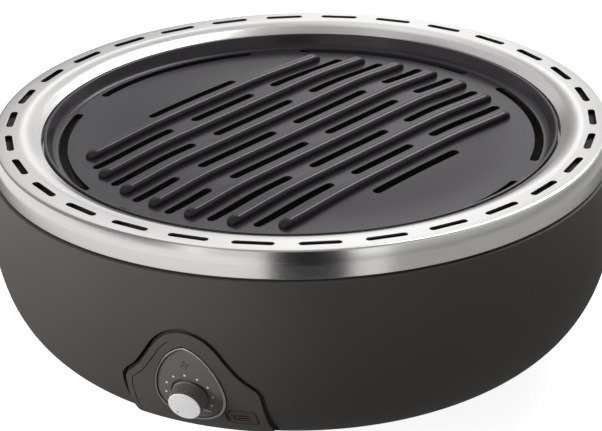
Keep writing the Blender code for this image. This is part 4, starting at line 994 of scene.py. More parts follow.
def shrink_sleeve(name, tint, band_start=17.0 * MM, wrinkle_size=6.25 * MM):
    """Printed PVC shrink sleeve round a cell: glossy, with a pale band and soft wrinkles."""
    material, tree, here = blank(name)
    along = add(tree, 'ShaderNodeSeparateXYZ', {0: here})
    band = add(tree, 'ShaderNodeMath', {0: (along, "X"), 1: band_start}, operation='GREATER_THAN')
    wrinkle = add(tree, 'ShaderNodeTexNoise', {"Vector": here, "Scale": 1.0 / wrinkle_size, "Detail": 2.0})
    tone = stops(add(tree, 'ShaderNodeValToRGB', {"Fac": (wrinkle, "Fac")}),
                 (0.3, shade(tint, 0.85)), (0.7, tint))
    mixed = add(tree, 'ShaderNodeMix', {
        0: (band, "Value"), 6: (tone, "Color"), 7: linear("#c9b98f")}, data_type='RGBA')
    bump = add(tree, 'ShaderNodeBump', {"Height": (wrinkle, "Fac"), "Strength": 0.15, "Distance": 0.1 * MM})
    shader = add(tree, 'ShaderNodeBsdfPrincipled', {
        "Base Color": (mixed, 2), "Roughness": 0.28, "Coat Weight": 0.5, "Normal": (bump, "Normal")})
    return surfaced(material, (shader, "BSDF"))


def screen_print(name, tint, mottle_size=0.4 * MM):
    """Screen-printed ink on plastic: flat, opaque and faintly mottled."""
    material, tree, here = blank(name)
    mottle = add(tree, 'ShaderNodeTexNoise', {"Vector": here, "Scale": 1.0 / mottle_size, "Detail": 1.0})
    ramp = stops(add(tree, 'ShaderNodeValToRGB', {"Fac": (mottle, "Fac")}),
                 (0.3, shade(tint, 0.9)), (0.7, tint))
    shader = add(tree, 'ShaderNodeBsdfPrincipled', {"Base Color": (ramp, "Color"), "Roughness": 0.5})
    return surfaced(material, (shader, "BSDF"))


# Pieces


class GRILL_OT_collar(bpy.types.Operator):
    """Make the slotted steel collar."""

    bl_idname = "grill.collar"
    bl_label = "Steel collar"

    def execute(self, context):
        """Spin the pressed section and punch its ring of slots."""
        collar = turned("collar", sheet(self.path(), -collar_sheet), large_steps)
        half, low = sizes().slot_length / 2.0, collar_top - slot_punch
        slot = raised("slot", slot_outline(-half, half, sizes().slot_width), low, collar_top + cut_past)
        moved(slot, shift(sizes().slot_circle, 0.0, 0.0) @ turn(90.0))
        pitch = 360.0 / slot_count
        slots = repeated(slot, [turn(pitch * index - 90.0) for index in range(slot_count)])
        cut(collar, joined("slots", slots))
        softened(collar, 0.18 * MM, 2, 40.0)
        steel = brushed_stainless("brushed_stainless_steel", colour("steel"))
        complete(collar, "housing", steel, ["steel_collar"])
        return {'FINISHED'}

    def path(self):
        """Outer line of the sheet: ledge, mouth, soft inner slope, flat top and turned-down band."""
        mouth, edge = collar_mouth_radius, collar_edge_radius
        inner = [(mouth - collar_ledge_width, collar_ledge_height), (mouth, collar_ledge_height)]
        inner += [(mouth, collar_mouth_height - mouth_lip)]
        inner += [(mouth + slope_foot[0], collar_mouth_height + slope_foot[1])]
        slope = [inner[-1]] + [(mouth + reach, collar_top) for reach in slope_reaches]
        shoulder = [(edge + out, collar_top + up) for out, up in shoulder_points]
        shoulder += [(collar_band_radius, collar_band_bottom + band_hem[1])]
        shoulder += [(collar_band_radius - band_hem[0], collar_band_bottom)]
        path = rounded(inner, 0.5 * MM, 3)[:-1] + quadratic(slope, 10)
        path += rounded(shoulder[:3], 1.5 * MM, 6)[:-1]
        return path + rounded(shoulder[1:4], 3.6 * MM, 8)[1:-1] + rounded(shoulder[2:], 0.7 * MM, 4)[1:]


class GRILL_OT_housing(bpy.types.Operator):
    """Make the moulded belly with its window for the control panel."""

    bl_idname = "grill.housing"
    bl_label = "Outer housing"

    def execute(self, context):
        """Spin the belly's section, cut the panel's window and add the shield under the collar's slots."""
        housing = turned("belly", self.section(), large_steps)
        softened(housing, 0.7 * MM, 3, 60.0)
        window = flat_solid("window", panel_outline(), -window_depth, window_depth)
        cut(housing, bent(window, unswollen, window_pitch))
        softened(housing, 0.3 * MM, 2, 60.0)
        plastic = moulded_plastic("matt_moulded_housing", colour("housing"))
        complete(housing, "housing", plastic, ["outer_housing"])
        shield = turned("slot_shield", self.shield_section(), large_steps)
        dull = moulded_plastic("matt_slot_shield", linear("#5a5450"), 0.85, level=0.05)
        complete(shield, "housing", dull)
        return {'FINISHED'}

    def section(self):
        """The belly's line, its bottom opening, the wall's inner line and the spigot inside the collar."""
        belly = [belly_at(index / housing_samples) for index in range(housing_samples + 1)]
        bend = sheet(belly, -housing_wall)[len(belly):]
        floor, rim = housing_bottom_height + housing_wall, housing_top_height - housing_wall
        low, high = spigot_radii
        top = housing_top_height + spigot_height
        section = belly + [(housing_opening_radius, housing_bottom_height), (housing_opening_radius, floor)]
        section += [point for point in bend if point[1] < rim]
        section += [(low, rim), (low, top + spigot_bevel), (high - spigot_lead, top + spigot_bevel)]
        return section + [(high, top - spigot_bevel), (high, housing_top_height)]

    def shield_section(self):
        """Thin ring under the slots, and its skirt round the spigot's inner edge."""
        low, high = shelf_height
        inner, outer = spigot_radii[0] - shelf_lap, spigot_radii[0] + shelf_lap
        foot = housing_top_height + spigot_height - spigot_bevel
        return [(outer, low), (outer, high), (shelf_radius, high), (shelf_radius, low),
                (inner, low), (inner, foot), (outer, foot)]


class GRILL_OT_panel(bpy.types.Operator):
    """Make the mountain-shaped control panel."""

    bl_idname = "grill.panel"
    bl_label = "Control panel"

    def execute(self, context):
        """Raise a rounded face on a recessed border and sink the dial and the port into it."""
        border = flat_solid("panel", grown(panel_outline(), -panel_gap), -panel_back, -panel_recess)
        softened(border, 0.3 * MM, 2, 50.0)
        bent(border, unswollen)
        face = grown(panel_outline(), -panel_border)
        top = flat_solid("face", face, -panel_back + panel_lap, 0.0)
        softened(top, 0.7 * MM, 3, 50.0)
        port = placed(rounded_box(*port_size, port_corner), port_arc, port_height)
        slit = rounded_box(*slit_size, slit_corner)
        slit = placed(slit, port_arc - slit_offset[0], port_height - slit_offset[1])
        cut(top, flat_solid("pocket", grown(dial_outline(0.0), side_gap), -dial_recess, cut_out))
        cut(top, flat_solid("recess", grown(port, side_gap), -port_recess, cut_out))
        cut(top, flat_solid("slit", slit, -port_recess, cut_out))
        cut(top, self.crease())
        softened(top, 0.15 * MM, 2, 60.0)
        panel = joined("panel", [border, bent(top, swollen)])
        plastic = moulded_plastic("matt_moulded_panel", shade(colour("housing"), 1.25), 0.46)
        complete(panel, "housing", plastic, ["control_panel"])
        return {'FINISHED'}

    def crease(self):
        """Fine groove that follows the panel's left side."""
        low = panel_bottom + crease_foot
        left = [(x, y) for x, y in grown(panel_outline(), -crease_inset) if x < -crease_side and y > low]
        path = []
        for point in sorted(left, key=lambda point: -point[1]):
            far = not path or (Vector(point) - Vector(path[-1])).length > crease_spacing
            if far and (not path or point[1] < path[-1][1] - crease_drop):
                path.append(point)
        path.append((path[-1][0], panel_bottom - crease_overrun))
        return flat_solid("crease", sheet(path, crease_width), -crease_depth, cut_out)


class GRILL_OT_dial(bpy.types.Operator):
    """Make the dial plate, its bright ring and its marks."""

    bl_idname = "grill.dial"
    bl_label = "Dial"

    def execute(self, context):
        """Lay the egg-shaped ring and plate on the swollen face and print the marks."""
        width, back = sizes().ring_width, -dial_recess + seat_gap
        ring = flat_solid("ring", dial_outline(0.0), back, ring_height)
        inside = placed(dial_outline(width), -ring_shift, 0.0)
        cut(ring, flat_solid("inner", inside, -ring_cut, ring_cut))
        softened(ring, 0.42 * MM, 4, 50.0)
        chrome = polished_chrome("polished_chrome")
        complete(bent(ring, swollen, 6.0 * MM), "housing", chrome, ["dial_ring"], 50.0)
        outline = placed(dial_outline(width + seat_gap), -ring_shift, 0.0)
        plate = flat_solid("dial", outline, back, -dial_sink)
        for radius, depth, steps in knob_cuts:
            disc = placed(slot_outline(-radius, radius, 2.0 * radius, steps), 0.0, knob_height)
            cut(plate, flat_solid("disc", disc, -depth, disc_cut))
        softened(plate, 0.2 * MM, 2, 50.0)
        plastic = moulded_plastic("matt_dial_plastic", colour("dial"), 0.42, 0.6 * MM)
        complete(bent(plate, swollen), "housing", plastic, ["dial_plate"])
        self.print_marks()
        return {'FINISHED'}

    def print_marks(self):
        """Eight dots round the knob, a wedge for full speed and a small fan above."""
        radius = sizes().dot_radius
        angles = [step * math.pi / 12 for step in range(24)]
        circle = [(radius * math.cos(a), radius * math.sin(a)) for a in angles]
        dot = raised("dot", circle, 0.0, print_thickness)
        angles = [math.radians(dot_first - dot_pitch * index) for index in range(dot_count)]
        marks = repeated(dot, [shift(dot_circle * math.cos(a) + dot_centre[0],
                                     dot_circle * math.sin(a) + dot_centre[1], 0.0) for a in angles])
        for name, outline, (x, y) in (("wedge", wedge, wedge_place), ("bar", bar, bar_place)):
            marks.append(moved(raised(name, outline, 0.0, print_thickness), shift(x, y, 0.0)))
        self.lay(joined("dial_marks", marks), "screen_print_white", colour("marks"))
        wings = repeated(raised("wing", fan_wing, 0.0, print_thickness),
                         [turn(90.0 * index + fan_turn) for index in range(4)])
        fan = moved(joined("dial_fan_mark", wings), shift(*fan_place, 0.0))
        self.lay(fan, "screen_print_dark", linear("#4a4542"))

    def lay(self, item, name, tint):
        """Put flat marks on the plate where the swollen face is."""
        for vertex in item.data.vertices:
            arc, along, lift = vertex.co
            height = dial_height - print_drop + along * math.cos(math.radians(knob_tilt))
            vertex.co = belly_point(arc, height, swell(height) - dial_sink - print_sink + lift)
        item.data.update()
        complete(item, "housing", screen_print(name, tint))


class GRILL_OT_knob(bpy.types.Operator):
    """Make the knurled knob with its bright cap."""

    bl_idname = "grill.knob"
    bl_label = "Knob"

    def execute(self, context):
        """Draw the ridged outline, pull it up with a rounded top and seat the cap in it."""
        count, top = sizes().knurl_count, knob_lift + knob_length
        outline = []
        for index in range(count):
            for share, reach in zip((0.0, 0.25, 0.5, 0.75), knurl_radii):
                angle = 2.0 * math.pi * (index + share) / count
                outline.append((reach * math.cos(angle), reach * math.sin(angle)))
        knob = raised("knob", outline, knob_lift, top - knob_edge)
        edit(knob)
        pick(knob, 'FACE', lambda face: face.normal.z > 0.9)
        centre = (0.0, 0.0, top)
        low_share, high_share = knob_edge_shares
        bpy.ops.transform.resize(value=(low_share, low_share, 1.0), center_override=centre)
        bpy.ops.mesh.extrude_region_move(TRANSFORM_OT_translate={"value": (0.0, 0.0, knob_edge)})
        bpy.ops.transform.resize(value=(high_share, high_share, 1.0), center_override=centre)
        leave()
        skirt = turned("skirt", rounded(skirt_section, 0.3 * MM, 3), medium_steps)
        knob = joined("knob", [knob, moved(skirt, shift(0.0, 0.0, skirt_lift))])
        grey = moulded_plastic("satin_knob_plastic", linear("#807b78"), 0.36, 0.5 * MM)
        complete(moved(knob, dial_matrix()), "speed_knob", grey, ["knob_body"], 40.0)
        metal = satin_aluminium("satin_anodised_aluminium")
        complete(moved(self.cap(top), dial_matrix()), "speed_knob", metal, ["knob_cap"], 40.0)
        return {'FINISHED'}

    def cap(self, top):
        """Slightly domed disc with a small pit that marks where the knob points."""
        rim, low = cap_radius, top + 0.02 * MM
        section = [(0.0, top - cap_depth), (cap_spigot, top - cap_depth), (cap_spigot, low), (rim, low)]
        section += [(rim, top + 0.12 * MM), (rim - 0.22 * MM, top + cap_edge)]
        section += [(rim * share, top + (cap_edge + cap_dome * (1.0 - share * share)))
                    for share in (0.9, 0.7, 0.45, 0.2)]
        cap = turned("cap", section + [(0.0, top + cap_edge + cap_dome)], medium_steps)
        bpy.ops.object.select_all(action='DESELECT')
        bpy.ops.mesh.primitive_uv_sphere_add(segments=24, ring_count=16, radius=pit_radius)
        return cut(cap, moved(bpy.context.object, shift(*pit_place, top + pit_lift)))


class GRILL_OT_port_cover(bpy.types.Operator):
    """Make the soft cover over the power port."""

    bl_idname = "grill.port_cover"
    bl_label = "Port cover"

    def execute(self, context):
        """Press a U-shaped groove and a bar into a rounded flap and lay it on the panel."""
        outline = placed(rounded_box(*port_size, port_corner), port_arc, port_height)
        cover = flat_solid("port_flap", outline, -flap_thickness, flap_height)
        softened(cover, 0.35 * MM, 3, 50.0)
        reach, half = groove_reach, groove_half
        turns = [step * math.pi / 10 for step in range(1, 10)]
        path = [(reach, half), (-reach + half, half)]
        path += [(-reach + half - half * math.sin(a), half * math.cos(a)) for a in turns]
        path += [(-reach + half, -half), (reach, -half)]
        groove = placed(sheet(path, groove_width), port_arc - groove_shift, port_height)
        cut(cover, flat_solid("groove", groove, -groove_depth, cut_past))
        middle = placed(rounded_box(*groove_bar, 0.35 * MM), port_arc + bar_shift, port_height)
        cut(cover, flat_solid("bar", middle, -groove_depth, cut_past))
        rubber = soft_rubber("matt_flap_rubber", "#494440", "#58524d")
        complete(bent(cover, swollen, 2.5 * MM), "port_flap", rubber, ["port_cover"], 50.0)
        return {'FINISHED'}


def dome(radius):
    """Height of the plate's floor above its outer gutter."""
    share = min(max((plate_dome_radius - radius) / (plate_dome_radius - plate_dome_flat), 0.0), 1.0)
    return plate_dome_height * share * share * (3.0 - 2.0 * share)


class GRILL_OT_plate(bpy.types.Operator):
    """Make the ribbed and slotted grill plate."""

    bl_idname = "grill.plate"
    bl_label = "Grill plate"

    def execute(self, context):
        """Spin the dished plate, punch its slots and set the ribs on it."""
        plate = turned("plate", self.section(), large_steps)
        low, high = plate_under - cut_past, plate_rim_top + cut_past
        cutters = self.floor_slots(low, high)
        arc = raised("arc", self.arc_outline(), low, high)
        cutters += repeated(arc, [turn(arc_slot_first + 60.0 * index) for index in range(6)])
        cut(plate, joined("slots", cutters))
        softened(plate, 0.6 * MM, 3, 50.0)
        plate = joined("plate", [plate] + [self.rib(index * rib_pitch) for index in range(-3, 4)])
        coating = nonstick_coating("black_nonstick_coating", colour("coating"))
        complete(plate, "plate", coating, ["grill_plate"], 40.0)
        return {'FINISHED'}

    def section(self):
        """Flat underside, rolled rim, dished wall, gutter and low dome."""
        inset = plate_under_bevel
        section = [(0.0, plate_under), (plate_wall_radius - inset, plate_under)]
        section += [(plate_wall_radius, plate_under + inset), (plate_wall_radius, plate_rim_bottom)]
        wall = (plate_rim_radius - rim_slope[0], plate_rim_top - rim_slope[1])
        rim = [(plate_wall_radius, plate_rim_bottom), (plate_rim_radius, plate_rim_bottom)]
        rim += [(plate_rim_radius, plate_rim_top), (plate_rim_radius - rim_width, plate_rim_top), wall]
        section += rounded(rim, 0.7 * MM, 4)[1:-1]
        dish = [wall, (plate_floor_radius + dish_foot, plate_floor), (dish_radius, plate_floor)]
        section += rounded(dish, dish_bend, 10) + [(plate_dome_radius, plate_floor)]
        radii = [plate_dome_radius * (1.0 - index / dome_steps) for index in range(1, dome_steps)]
        section += [(radius, plate_floor + dome(radius)) for radius in radii]
        return section + [(0.0, plate_floor + dome(0.0))]

    def floor_slots(self, low, high):
        """Cutters for the slots between the ribs: each row on one side, turned and mirrored to the others."""
        cutters = []
        mirror = Matrix.Scale(-1.0, 4, Vector((1.0, 0.0, 0.0)))
        for row, spans in slot_rows:
            for start, end in spans:
                ends = [share * plate_dome_radius for share in (start, end)]
                outline = slot_outline(*ends, sizes().floor_slot_width)
                slot = moved(raised("slot", outline, low, high), shift(0.0, row * rib_pitch, 0.0))
                turns = [turn(rib_angle), turn(rib_angle + 180.0)]
                cutters += [copied(slot, place) for place in turns]
                if start > 0.0:
                    for place in turns:
                        cutters.append(copied(slot, place @ mirror))
                        cutters[-1].data.flip_normals()
                bpy.data.objects.remove(slot, do_unlink=True)
        return cutters

    def arc_outline(self):
        """Plan outline of one gutter slot, centred on the X axis."""
        reach, half = math.radians(arc_slot_span) / 2.0, sizes().arc_slot_width / 2.0
        points = []
        for side in (1.0, -1.0):
            for step in range(arc_slot_steps + 1):
                angle = side * reach * (2.0 * step / arc_slot_steps - 1.0)
                radius = arc_slot_radius + side * half
                points.append((radius * math.cos(angle), radius * math.sin(angle)))
            tip = Vector((math.cos(side * reach), math.sin(side * reach))) * arc_slot_radius
            start = side * reach + (0.0 if side > 0.0 else math.pi)
            for step in range(1, 8):
                angle = start + math.pi * step / 8.0
                points.append((tip.x + half * math.cos(angle), tip.y + half * math.sin(angle)))
        return points

    def rib(self, offset):
        """One rounded bar along its row: a ball pulled long, flattened on top and laid over the dome."""
        length = 2.0 * math.sqrt(rib_circle ** 2 - offset ** 2)
        half, height = sizes().rib_width / 2.0, sizes().rib_height
        bpy.ops.object.select_all(action='DESELECT')
        bpy.ops.mesh.primitive_uv_sphere_add(segments=40, ring_count=24, radius=1.0)
        rib = moved(bpy.context.object, Matrix.Rotation(math.radians(90.0), 4, 'Y'))
        squareness = 2.0 / rib_power
        for vertex in rib.data.vertices:
            along, around = vertex.co.x, math.atan2(vertex.co.z, vertex.co.y)
            size = max(0.0, 1.0 - abs(along) ** rib_power) ** (1.0 / rib_power)
            slope = max(0.0, 1.0 - abs(along) ** nose_power) ** (1.0 / nose_power)
            across = math.copysign(abs(math.cos(around)) ** squareness, math.cos(around)) * size
            up = math.copysign(abs(math.sin(around)) ** squareness, math.sin(around)) * slope
            lean = 1.0 - rib_lean * max(up, 0.0)
            vertex.co = (along * rib_nose, across * half * lean, up * (height if up > 0.0 else rib_root))
        edit(rib)
        for side in (1.0, -1.0):
            pick(rib, 'VERT', lambda vertex: vertex.co.x * side > (-weld if side > 0.0 else weld))
            bpy.ops.transform.translate(value=(side * (length / 2.0 - rib_nose), 0.0, 0.0))
        for index in range(1, rib_steps):
            all_of_it()
            along = length * (index / rib_steps - 0.5)
            bpy.ops.mesh.bisect(plane_co=(along, 0.0, 0.0), plane_no=(1.0, 0.0, 0.0), threshold=weld)
        leave()
        for vertex in rib.data.vertices:
            vertex.co.z += plate_floor + dome(math.hypot(vertex.co.x, offset))
            vertex.co.y += offset
        return moved(rib, turn(rib_angle))


class GRILL_OT_bowl(bpy.types.Operator):
    """Make the pressed bowl, the fuel tray, the charcoal basket and its lid."""

    bl_idname = "grill.bowl"
    bl_label = "Bowl and basket"

    def execute(self, context):
        """Spin the bowl and the tray, then make the basket and the lid."""
        steel = pressed_stainless("bright_pressed_stainless", linear("#c2c0bd"))
        bowl = turned("bowl", sheet(rounded(bowl_path, 14.0 * MM, 8), bowl_sheet), large_steps)
        complete(bowl, "bowl", steel, ["inner_bowl"])
        tray = turned("tray", sheet(rounded(tray_path, 1.2 * MM, 4), bowl_sheet), medium_steps)
        complete(tray, "bowl", steel, ["fuel_tray"])
        self.basket(steel)
        self.lid(steel)
        return {'FINISHED'}

    def holes(self, low, high, places):
        """Round cutters at a list of places."""
        radius = air_hole / 2.0
        return repeated(raised("hole", slot_outline(-radius, radius, air_hole, 10), low, high), places)

    def basket(self, steel):
        """Tall drum with a pierced floor, slotted wall and slotted skirt."""
        low, top, wall = basket_low, basket_top, bowl_sheet
        floor, outer = low + basket_floor, basket_radius
        inner, rim = outer - wall, outer + basket_rim
        section = [(0.0, floor), (inner, floor), (inner, low), (outer, low), (outer, top - wall)]
        section += [(rim, top - wall), (rim, top), (inner, top), (inner, floor + wall), (0.0, floor + wall)]
        basket = turned("basket", section, medium_steps)
        places = [turn(360.0 * index / count) @ shift(ring * air_hole_pitch, 0.0, 0.0)
                  for ring, count in enumerate(air_hole_counts) for index in range(count)]
        cutters = self.holes(floor - cut_past, floor + cut_past, places)
        upright = Matrix.Scale(-1.0, 4, Vector((1.0, 0.0, 0.0))) @ Matrix.Rotation(math.radians(-90.0), 4, 'Y')
        for low_share, high_share in basket_slot_shares:
            ends = [low + share * (top - low) for share in (low_share, high_share)]
            slot = raised("slot", slot_outline(*ends, basket_slot_width), inner - cut_past, outer + cut_past)
            moved(slot, upright).data.flip_normals()
            cutters += repeated(slot, [turn(45.0 * (index + 0.5)) for index in range(8)])
        cut(basket, joined("holes", cutters))
        softened(basket, 0.15 * MM, 2, 50.0)
        complete(basket, "basket", steel, ["charcoal_basket"])

    def lid(self, steel):
        """Flat lid with a lip, air holes and a turned handle."""
        low, top = lid_low, lid_low + bowl_sheet
        inner, foot = lid_lip_radius - bowl_sheet, low - lid_lip
        section = [(0.0, low), (inner, low), (inner, foot), (lid_lip_radius, foot)]
        section += [(lid_lip_radius, low), (lid_radius, low), (lid_radius, top), (0.0, top)]
        lid = turned("lid", section, medium_steps)
        places = [turn(60.0 * index) @ shift(lid_hole_circle, 0.0, 0.0) for index in range(6)]
        cut(lid, joined("holes", self.holes(low - cut_past, top + cut_past, places)))
        softened(lid, 0.15 * MM, 2, 50.0)
        complete(lid, "lid", steel, ["basket_lid"])
        section = [(radius, top + seat_gap + height) for radius, height in handle_section]
        handle = turned("handle", rounded(section, 0.6 * MM, 3), small_steps)
        complete(handle, "lid", steel, ["lid_handle"])


class GRILL_OT_base(bpy.types.Operator):
    """Make the four rubber feet and the base screws."""

    bl_idname = "grill.base"
    bl_label = "Feet and screws"

    def execute(self, context):
        """Turn one foot and one screw and copy them to their places."""
        foot = turned("foot", rounded(foot_section, 0.5 * MM, 3), small_steps)
        corners = [shift(x * foot_place, y * foot_place, 0.0) for x, y in ((1, 1), (-1, 1), (-1, -1), (1, -1))]
        self.set_out(foot, corners, "foot", "soft_rubber", soft_rubber("matt_foot_rubber"), "rubber_foot")
        screw = turned("screw", rounded(screw_section, 0.3 * MM, 3), small_steps)
        cross = rounded_box(*screw_cross, 0.1 * MM, 2)
        for angle in (0.0, 90.0):
            arm = raised("bar", cross, screw_low - cut_past, screw_low + cross_depth)
            cut(screw, moved(arm, turn(angle)))
        places = [turn(angle) @ shift(screw_circle, 0.0, 0.0) for angle in screw_angles]
        self.set_out(screw, places, "screw", "zinc", zinc_plate("zinc_plated_steel"), "base_screw")
        return {'FINISHED'}

    def set_out(self, item, places, name, slot, material, node):
        """Copy a piece to its places, each copy in place of its CAD node."""
        for index, twin in enumerate(repeated(item, places), 1):
            twin.name = twin.data.name = "%s_%d" % (name, index)
            complete(twin, "housing", material, ["%s_%d" % (node, index)])


class GRILL_OT_hidden_parts(bpy.types.Operator):
    """Give every CAD part that stays its own finish."""

    bl_idname = "grill.hidden_parts"
    bl_label = "Inner parts' finishes"

    def execute(self, context):
        """Match each remaining node to what it is made of."""
        steel = pressed_stainless("satin_machined_steel", linear("#b4b2af"), 0.26)
        zinc = bpy.data.materials["zinc_plated_steel"]
        base = moulded_plastic("matt_base_plastic", colour("base"), 0.55)
        finishes = {
            "base_cover": base, "fan_guide": base, "fan_impeller": base, "battery_box": base,
            "battery_door": base, "control_nut": zinc, "board_screw": zinc, "battery_contact": zinc,
            "knob_shaft": steel, "motor_shaft": steel, "speed_control": steel, "port_socket": steel,
            "fan_motor": steel, "circuit_board": solder_mask("green_solder_mask"),
            "battery_cell": shrink_sleeve("printed_cell_sleeve", colour("sleeve")),
        }
        for name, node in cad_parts.items():
            for start, finish in finishes.items():
                if name.startswith(start):
                    node.data.materials.clear()
                    node.data.materials.append(finish)
        return {'FINISHED'}


def swung(first, second, angle):
    """Two directions at right angles, both turned from the first toward the second."""
    ahead = first * math.cos(angle) + second * math.sin(angle)
    return ahead, second * math.cos(angle) - first * math.sin(angle)


class GRILL_OT_stage(bpy.types.Operator):
    """Set the pale floor, the soft lamps and the camera."""

    bl_idname = "grill.stage"
    bl_label = "Stage"

    def execute(self, context):
        """Build the plain studio round the grill."""
        scene = context.scene
        scene.view_settings.view_transform = 'Standard'
        self.floor()
        self.world(scene)
        for lamp in lamps:
            self.lamp(*lamp)
        for card in cards:
            self.card(*card)
        # Dark disc under the grill, seen only in reflections: painted shadow where the mirrored floor has none
        # of its own
        self.mirrored_only(self.disc(painted_shadow_radius, painted_shadow_lift), "dark_mat", painted_shadow_grey)
        self.camera(scene)
        return {'FINISHED'}

    def disc(self, radius, height):
        """Round sheet that lies flat."""
        place = (0.0, 0.0, height)
        bpy.ops.object.select_all(action='DESELECT')
        bpy.ops.mesh.primitive_circle_add(vertices=64, radius=radius, fill_type='NGON', location=place)
        return bpy.context.object

    def floor(self):
        """Wide pale floor that keeps the grill's shadow."""
        floor = self.disc(floor_radius, 0.0)
        floor.name = "floor"
        material, tree, _ = blank("pale_floor")
        light = add(tree, 'ShaderNodeLightPath')
        paint = add(tree, 'ShaderNodeBsdfDiffuse', {"Color": linear("#c4c4c4")})
        glow = add(tree, 'ShaderNodeEmission', {"Color": linear("#ffffff"), "Strength": 0.9})
        half = add(tree, 'ShaderNodeAddShader', {0: (paint, "BSDF"), 1: (glow, "Emission")})
        even = add(tree, 'ShaderNodeEmission', {"Color": linear("#ffffff"), "Strength": 1.02})
        shiny = add(tree, 'ShaderNodeMixShader', {
            "Fac": (light, "Is Glossy Ray"), 1: (paint, "BSDF"), 2: (even, "Emission")})
        seen = add(tree, 'ShaderNodeMath', {
            0: (light, "Is Camera Ray"), 1: (light, "Is Transmission Ray")}, operation='MAXIMUM')
        mixed = add(tree, 'ShaderNodeMixShader', {
            "Fac": (seen, "Value"), 1: (shiny, "Shader"), 2: (half, "Shader")})
        floor.data.materials.append(surfaced(material, (mixed, "Shader")))

    def world(self, scene):
        """Pale surround: white where it is seen, brighter at the back right in what the steel mirrors."""
        world = bpy.data.worlds.new("studio")
        world.use_nodes = True
        tree = world.node_tree
        tree.nodes.clear()
        light = add(tree, 'ShaderNodeLightPath')
        place = add(tree, 'ShaderNodeTexCoord')
        axes = add(tree, 'ShaderNodeSeparateXYZ', {0: (place, "Generated")})
        across = add(tree, 'ShaderNodeMath', {0: (axes, "X"), 1: 0.5, 2: 0.5}, operation='MULTIPLY_ADD')
        side = stops(add(tree, 'ShaderNodeValToRGB', {"Fac": (across, "Value")}),
                     (0.25, 0.25), (0.31, 0.52), (0.335, 1.0), (0.37, 0.92), (0.395, 0.6), (0.46, 0.6))
        fall = stops(add(tree, 'ShaderNodeValToRGB', {"Fac": (axes, "Z")}),
                     (0.375, 1.36), (0.43, 1.64), (0.62, 1.15), (1.0, 0.6))
        sweep = add(tree, 'ShaderNodeMath', {0: (side, "Color"), 1: (fall, "Color")}, operation='MULTIPLY')
        soft = add(tree, 'ShaderNodeBackground', {"Color": linear("#ffffff"), "Strength": 0.2})
        mirrored = add(tree, 'ShaderNodeBackground', {
            "Color": linear("#ffffff"), "Strength": (sweep, "Value")})
        white = add(tree, 'ShaderNodeBackground', {"Color": linear("#ffffff"), "Strength": 1.0})
        seen = add(tree, 'ShaderNodeMath', {
            0: (light, "Is Camera Ray"), 1: (light, "Is Transmission Ray")}, operation='MAXIMUM')
        shiny = add(tree, 'ShaderNodeMixShader', {
            "Fac": (light, "Is Glossy Ray"), 1: (soft, "Background"), 2: (mirrored, "Background")})
        mixed = add(tree, 'ShaderNodeMixShader', {
            "Fac": (seen, "Value"), 1: (shiny, "Shader"), 2: (white, "Background")})
        add(tree, 'ShaderNodeOutputWorld', {"Surface": (mixed, "Shader")})
        scene.world = world

    def lamp(self, name, angle, distance, height, side, power, mirrored):
        """Square soft box aimed at the grill, seen or not seen in what shines."""
        around = math.radians(angle)
        place = Vector((distance * math.cos(around), distance * math.sin(around), height))
        data = bpy.data.lights.new(name, 'AREA')
        data.shape, data.size, data.energy = 'SQUARE', side, power
        lamp = bpy.data.objects.new(name, data)
        lamp.location = place
        lamp.visible_glossy = mirrored
        lamp.rotation_euler = (lamp_aim - place).to_track_quat('-Z', 'Y').to_euler()
        bpy.context.collection.objects.link(lamp)

    def card(self, name, first, last, reach, low, high, grey):
        """Upright curved card that only shiny surfaces mirror, as round a studio table."""
        points = []
        for step in range(card_steps + 1):
            angle = math.radians(first + (last - first) * step / card_steps)
            points.append((reach * math.cos(angle), reach * math.sin(angle), low))
        card = drawn(name, points, False)
        all_of_it()
        bpy.ops.mesh.extrude_region_move(TRANSFORM_OT_translate={"value": (0.0, 0.0, high - low)})
        leave()
        self.mirrored_only(card, name, grey)

    def mirrored_only(self, card, name, grey):
        """Give a card its even tone and let only shiny surfaces see it."""
        material, tree, here = blank(name)
        axes = add(tree, 'ShaderNodeSeparateXYZ', {0: here})
        tone = stops(add(tree, 'ShaderNodeValToRGB', {"Fac": (axes, "Z")}),
                     *((height, grey * share) for height, share in card_tones))
        glow = add(tree, 'ShaderNodeEmission', {"Color": (tone, "Color"), "Strength": 1.0})
        card.data.materials.append(surfaced(material, (glow, "Emission")))
        card.visible_camera = card.visible_diffuse = card.visible_shadow = card.visible_transmission = False

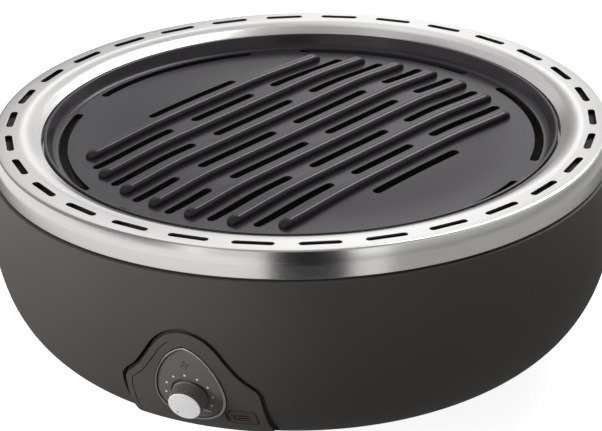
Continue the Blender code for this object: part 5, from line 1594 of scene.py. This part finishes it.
    def camera(self, scene):
        """Place the camera as solved from the photograph."""
        elevation, roll = math.radians(camera_elevation), math.radians(camera_roll)
        spin = Matrix.Rotation(math.radians(camera_azimuth), 3, 'Z')
        away = spin @ Vector((0.0, -math.cos(elevation), math.sin(elevation)))
        forward, right = -away, spin @ Vector((1.0, 0.0, 0.0))
        up = right.cross(forward)
        yaw = math.atan2(camera_target_pixel[0] - image_width / 2.0, camera_focal_pixels)
        pitch = math.atan2(camera_target_pixel[1] - image_height / 2.0, camera_focal_pixels)
        right, forward = swung(right, forward, yaw)
        forward, up = swung(forward, up, pitch)
        right, up = swung(right, up, roll)
        data = bpy.data.cameras.new("camera")
        data.sensor_width = sensor_width
        data.lens = camera_focal_pixels * sensor_width / image_width
        data.clip_start, data.clip_end = 0.05, 50.0
        camera = bpy.data.objects.new("camera", data)
        place = Vector((0.0, 0.0, collar_top)) + away * camera_distance
        rows = [(right[i], up[i], -forward[i], place[i]) for i in range(3)]
        camera.matrix_world = Matrix(rows + [(0.0, 0.0, 0.0, 1.0)])
        bpy.context.collection.objects.link(camera)
        scene.camera = camera


class GRILL_PT_sidebar(bpy.types.Panel):
    """Lists the grill's pieces in the 3D view's sidebar."""

    bl_idname = "GRILL_PT_sidebar"
    bl_label = "Charcoal grill"
    bl_space_type = 'VIEW_3D'
    bl_region_type = 'UI'
    bl_category = "Grill"

    def draw(self, context):
        """Show the sizes, the colours and one button for each operator."""
        layout = self.layout
        for group in (context.scene.grill_sizes, context.scene.grill_colours):
            box = layout.box()
            for key in group.__annotations__:
                box.prop(group, key)
        for operator in operators:
            layout.operator(operator.bl_idname)


operators = (
    GRILL_OT_collar, GRILL_OT_housing, GRILL_OT_panel, GRILL_OT_dial, GRILL_OT_knob, GRILL_OT_port_cover,
    GRILL_OT_plate, GRILL_OT_bowl, GRILL_OT_base, GRILL_OT_hidden_parts, GRILL_OT_stage,
)
classes = (GrillSizes, GrillColours, *operators, GRILL_PT_sidebar)


def register():
    """Register the classes and the two groups of settings."""
    for item in classes:
        bpy.utils.register_class(item)
    bpy.types.Scene.grill_sizes = bpy.props.PointerProperty(type=GrillSizes)
    bpy.types.Scene.grill_colours = bpy.props.PointerProperty(type=GrillColours)


def unregister():
    """Remove the settings and the classes."""
    del bpy.types.Scene.grill_colours
    del bpy.types.Scene.grill_sizes
    for item in reversed(classes):
        bpy.utils.unregister_class(item)


def main():
    """Build every piece in order."""
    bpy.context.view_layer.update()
    register()
    bpy.ops.grill.collar()
    bpy.ops.grill.housing()
    bpy.ops.grill.panel()
    bpy.ops.grill.dial()
    bpy.ops.grill.knob()
    bpy.ops.grill.port_cover()
    bpy.ops.grill.plate()
    bpy.ops.grill.bowl()
    bpy.ops.grill.base()
    bpy.ops.grill.hidden_parts()
    bpy.ops.grill.stage()


if __name__ == "__main__":
    main()
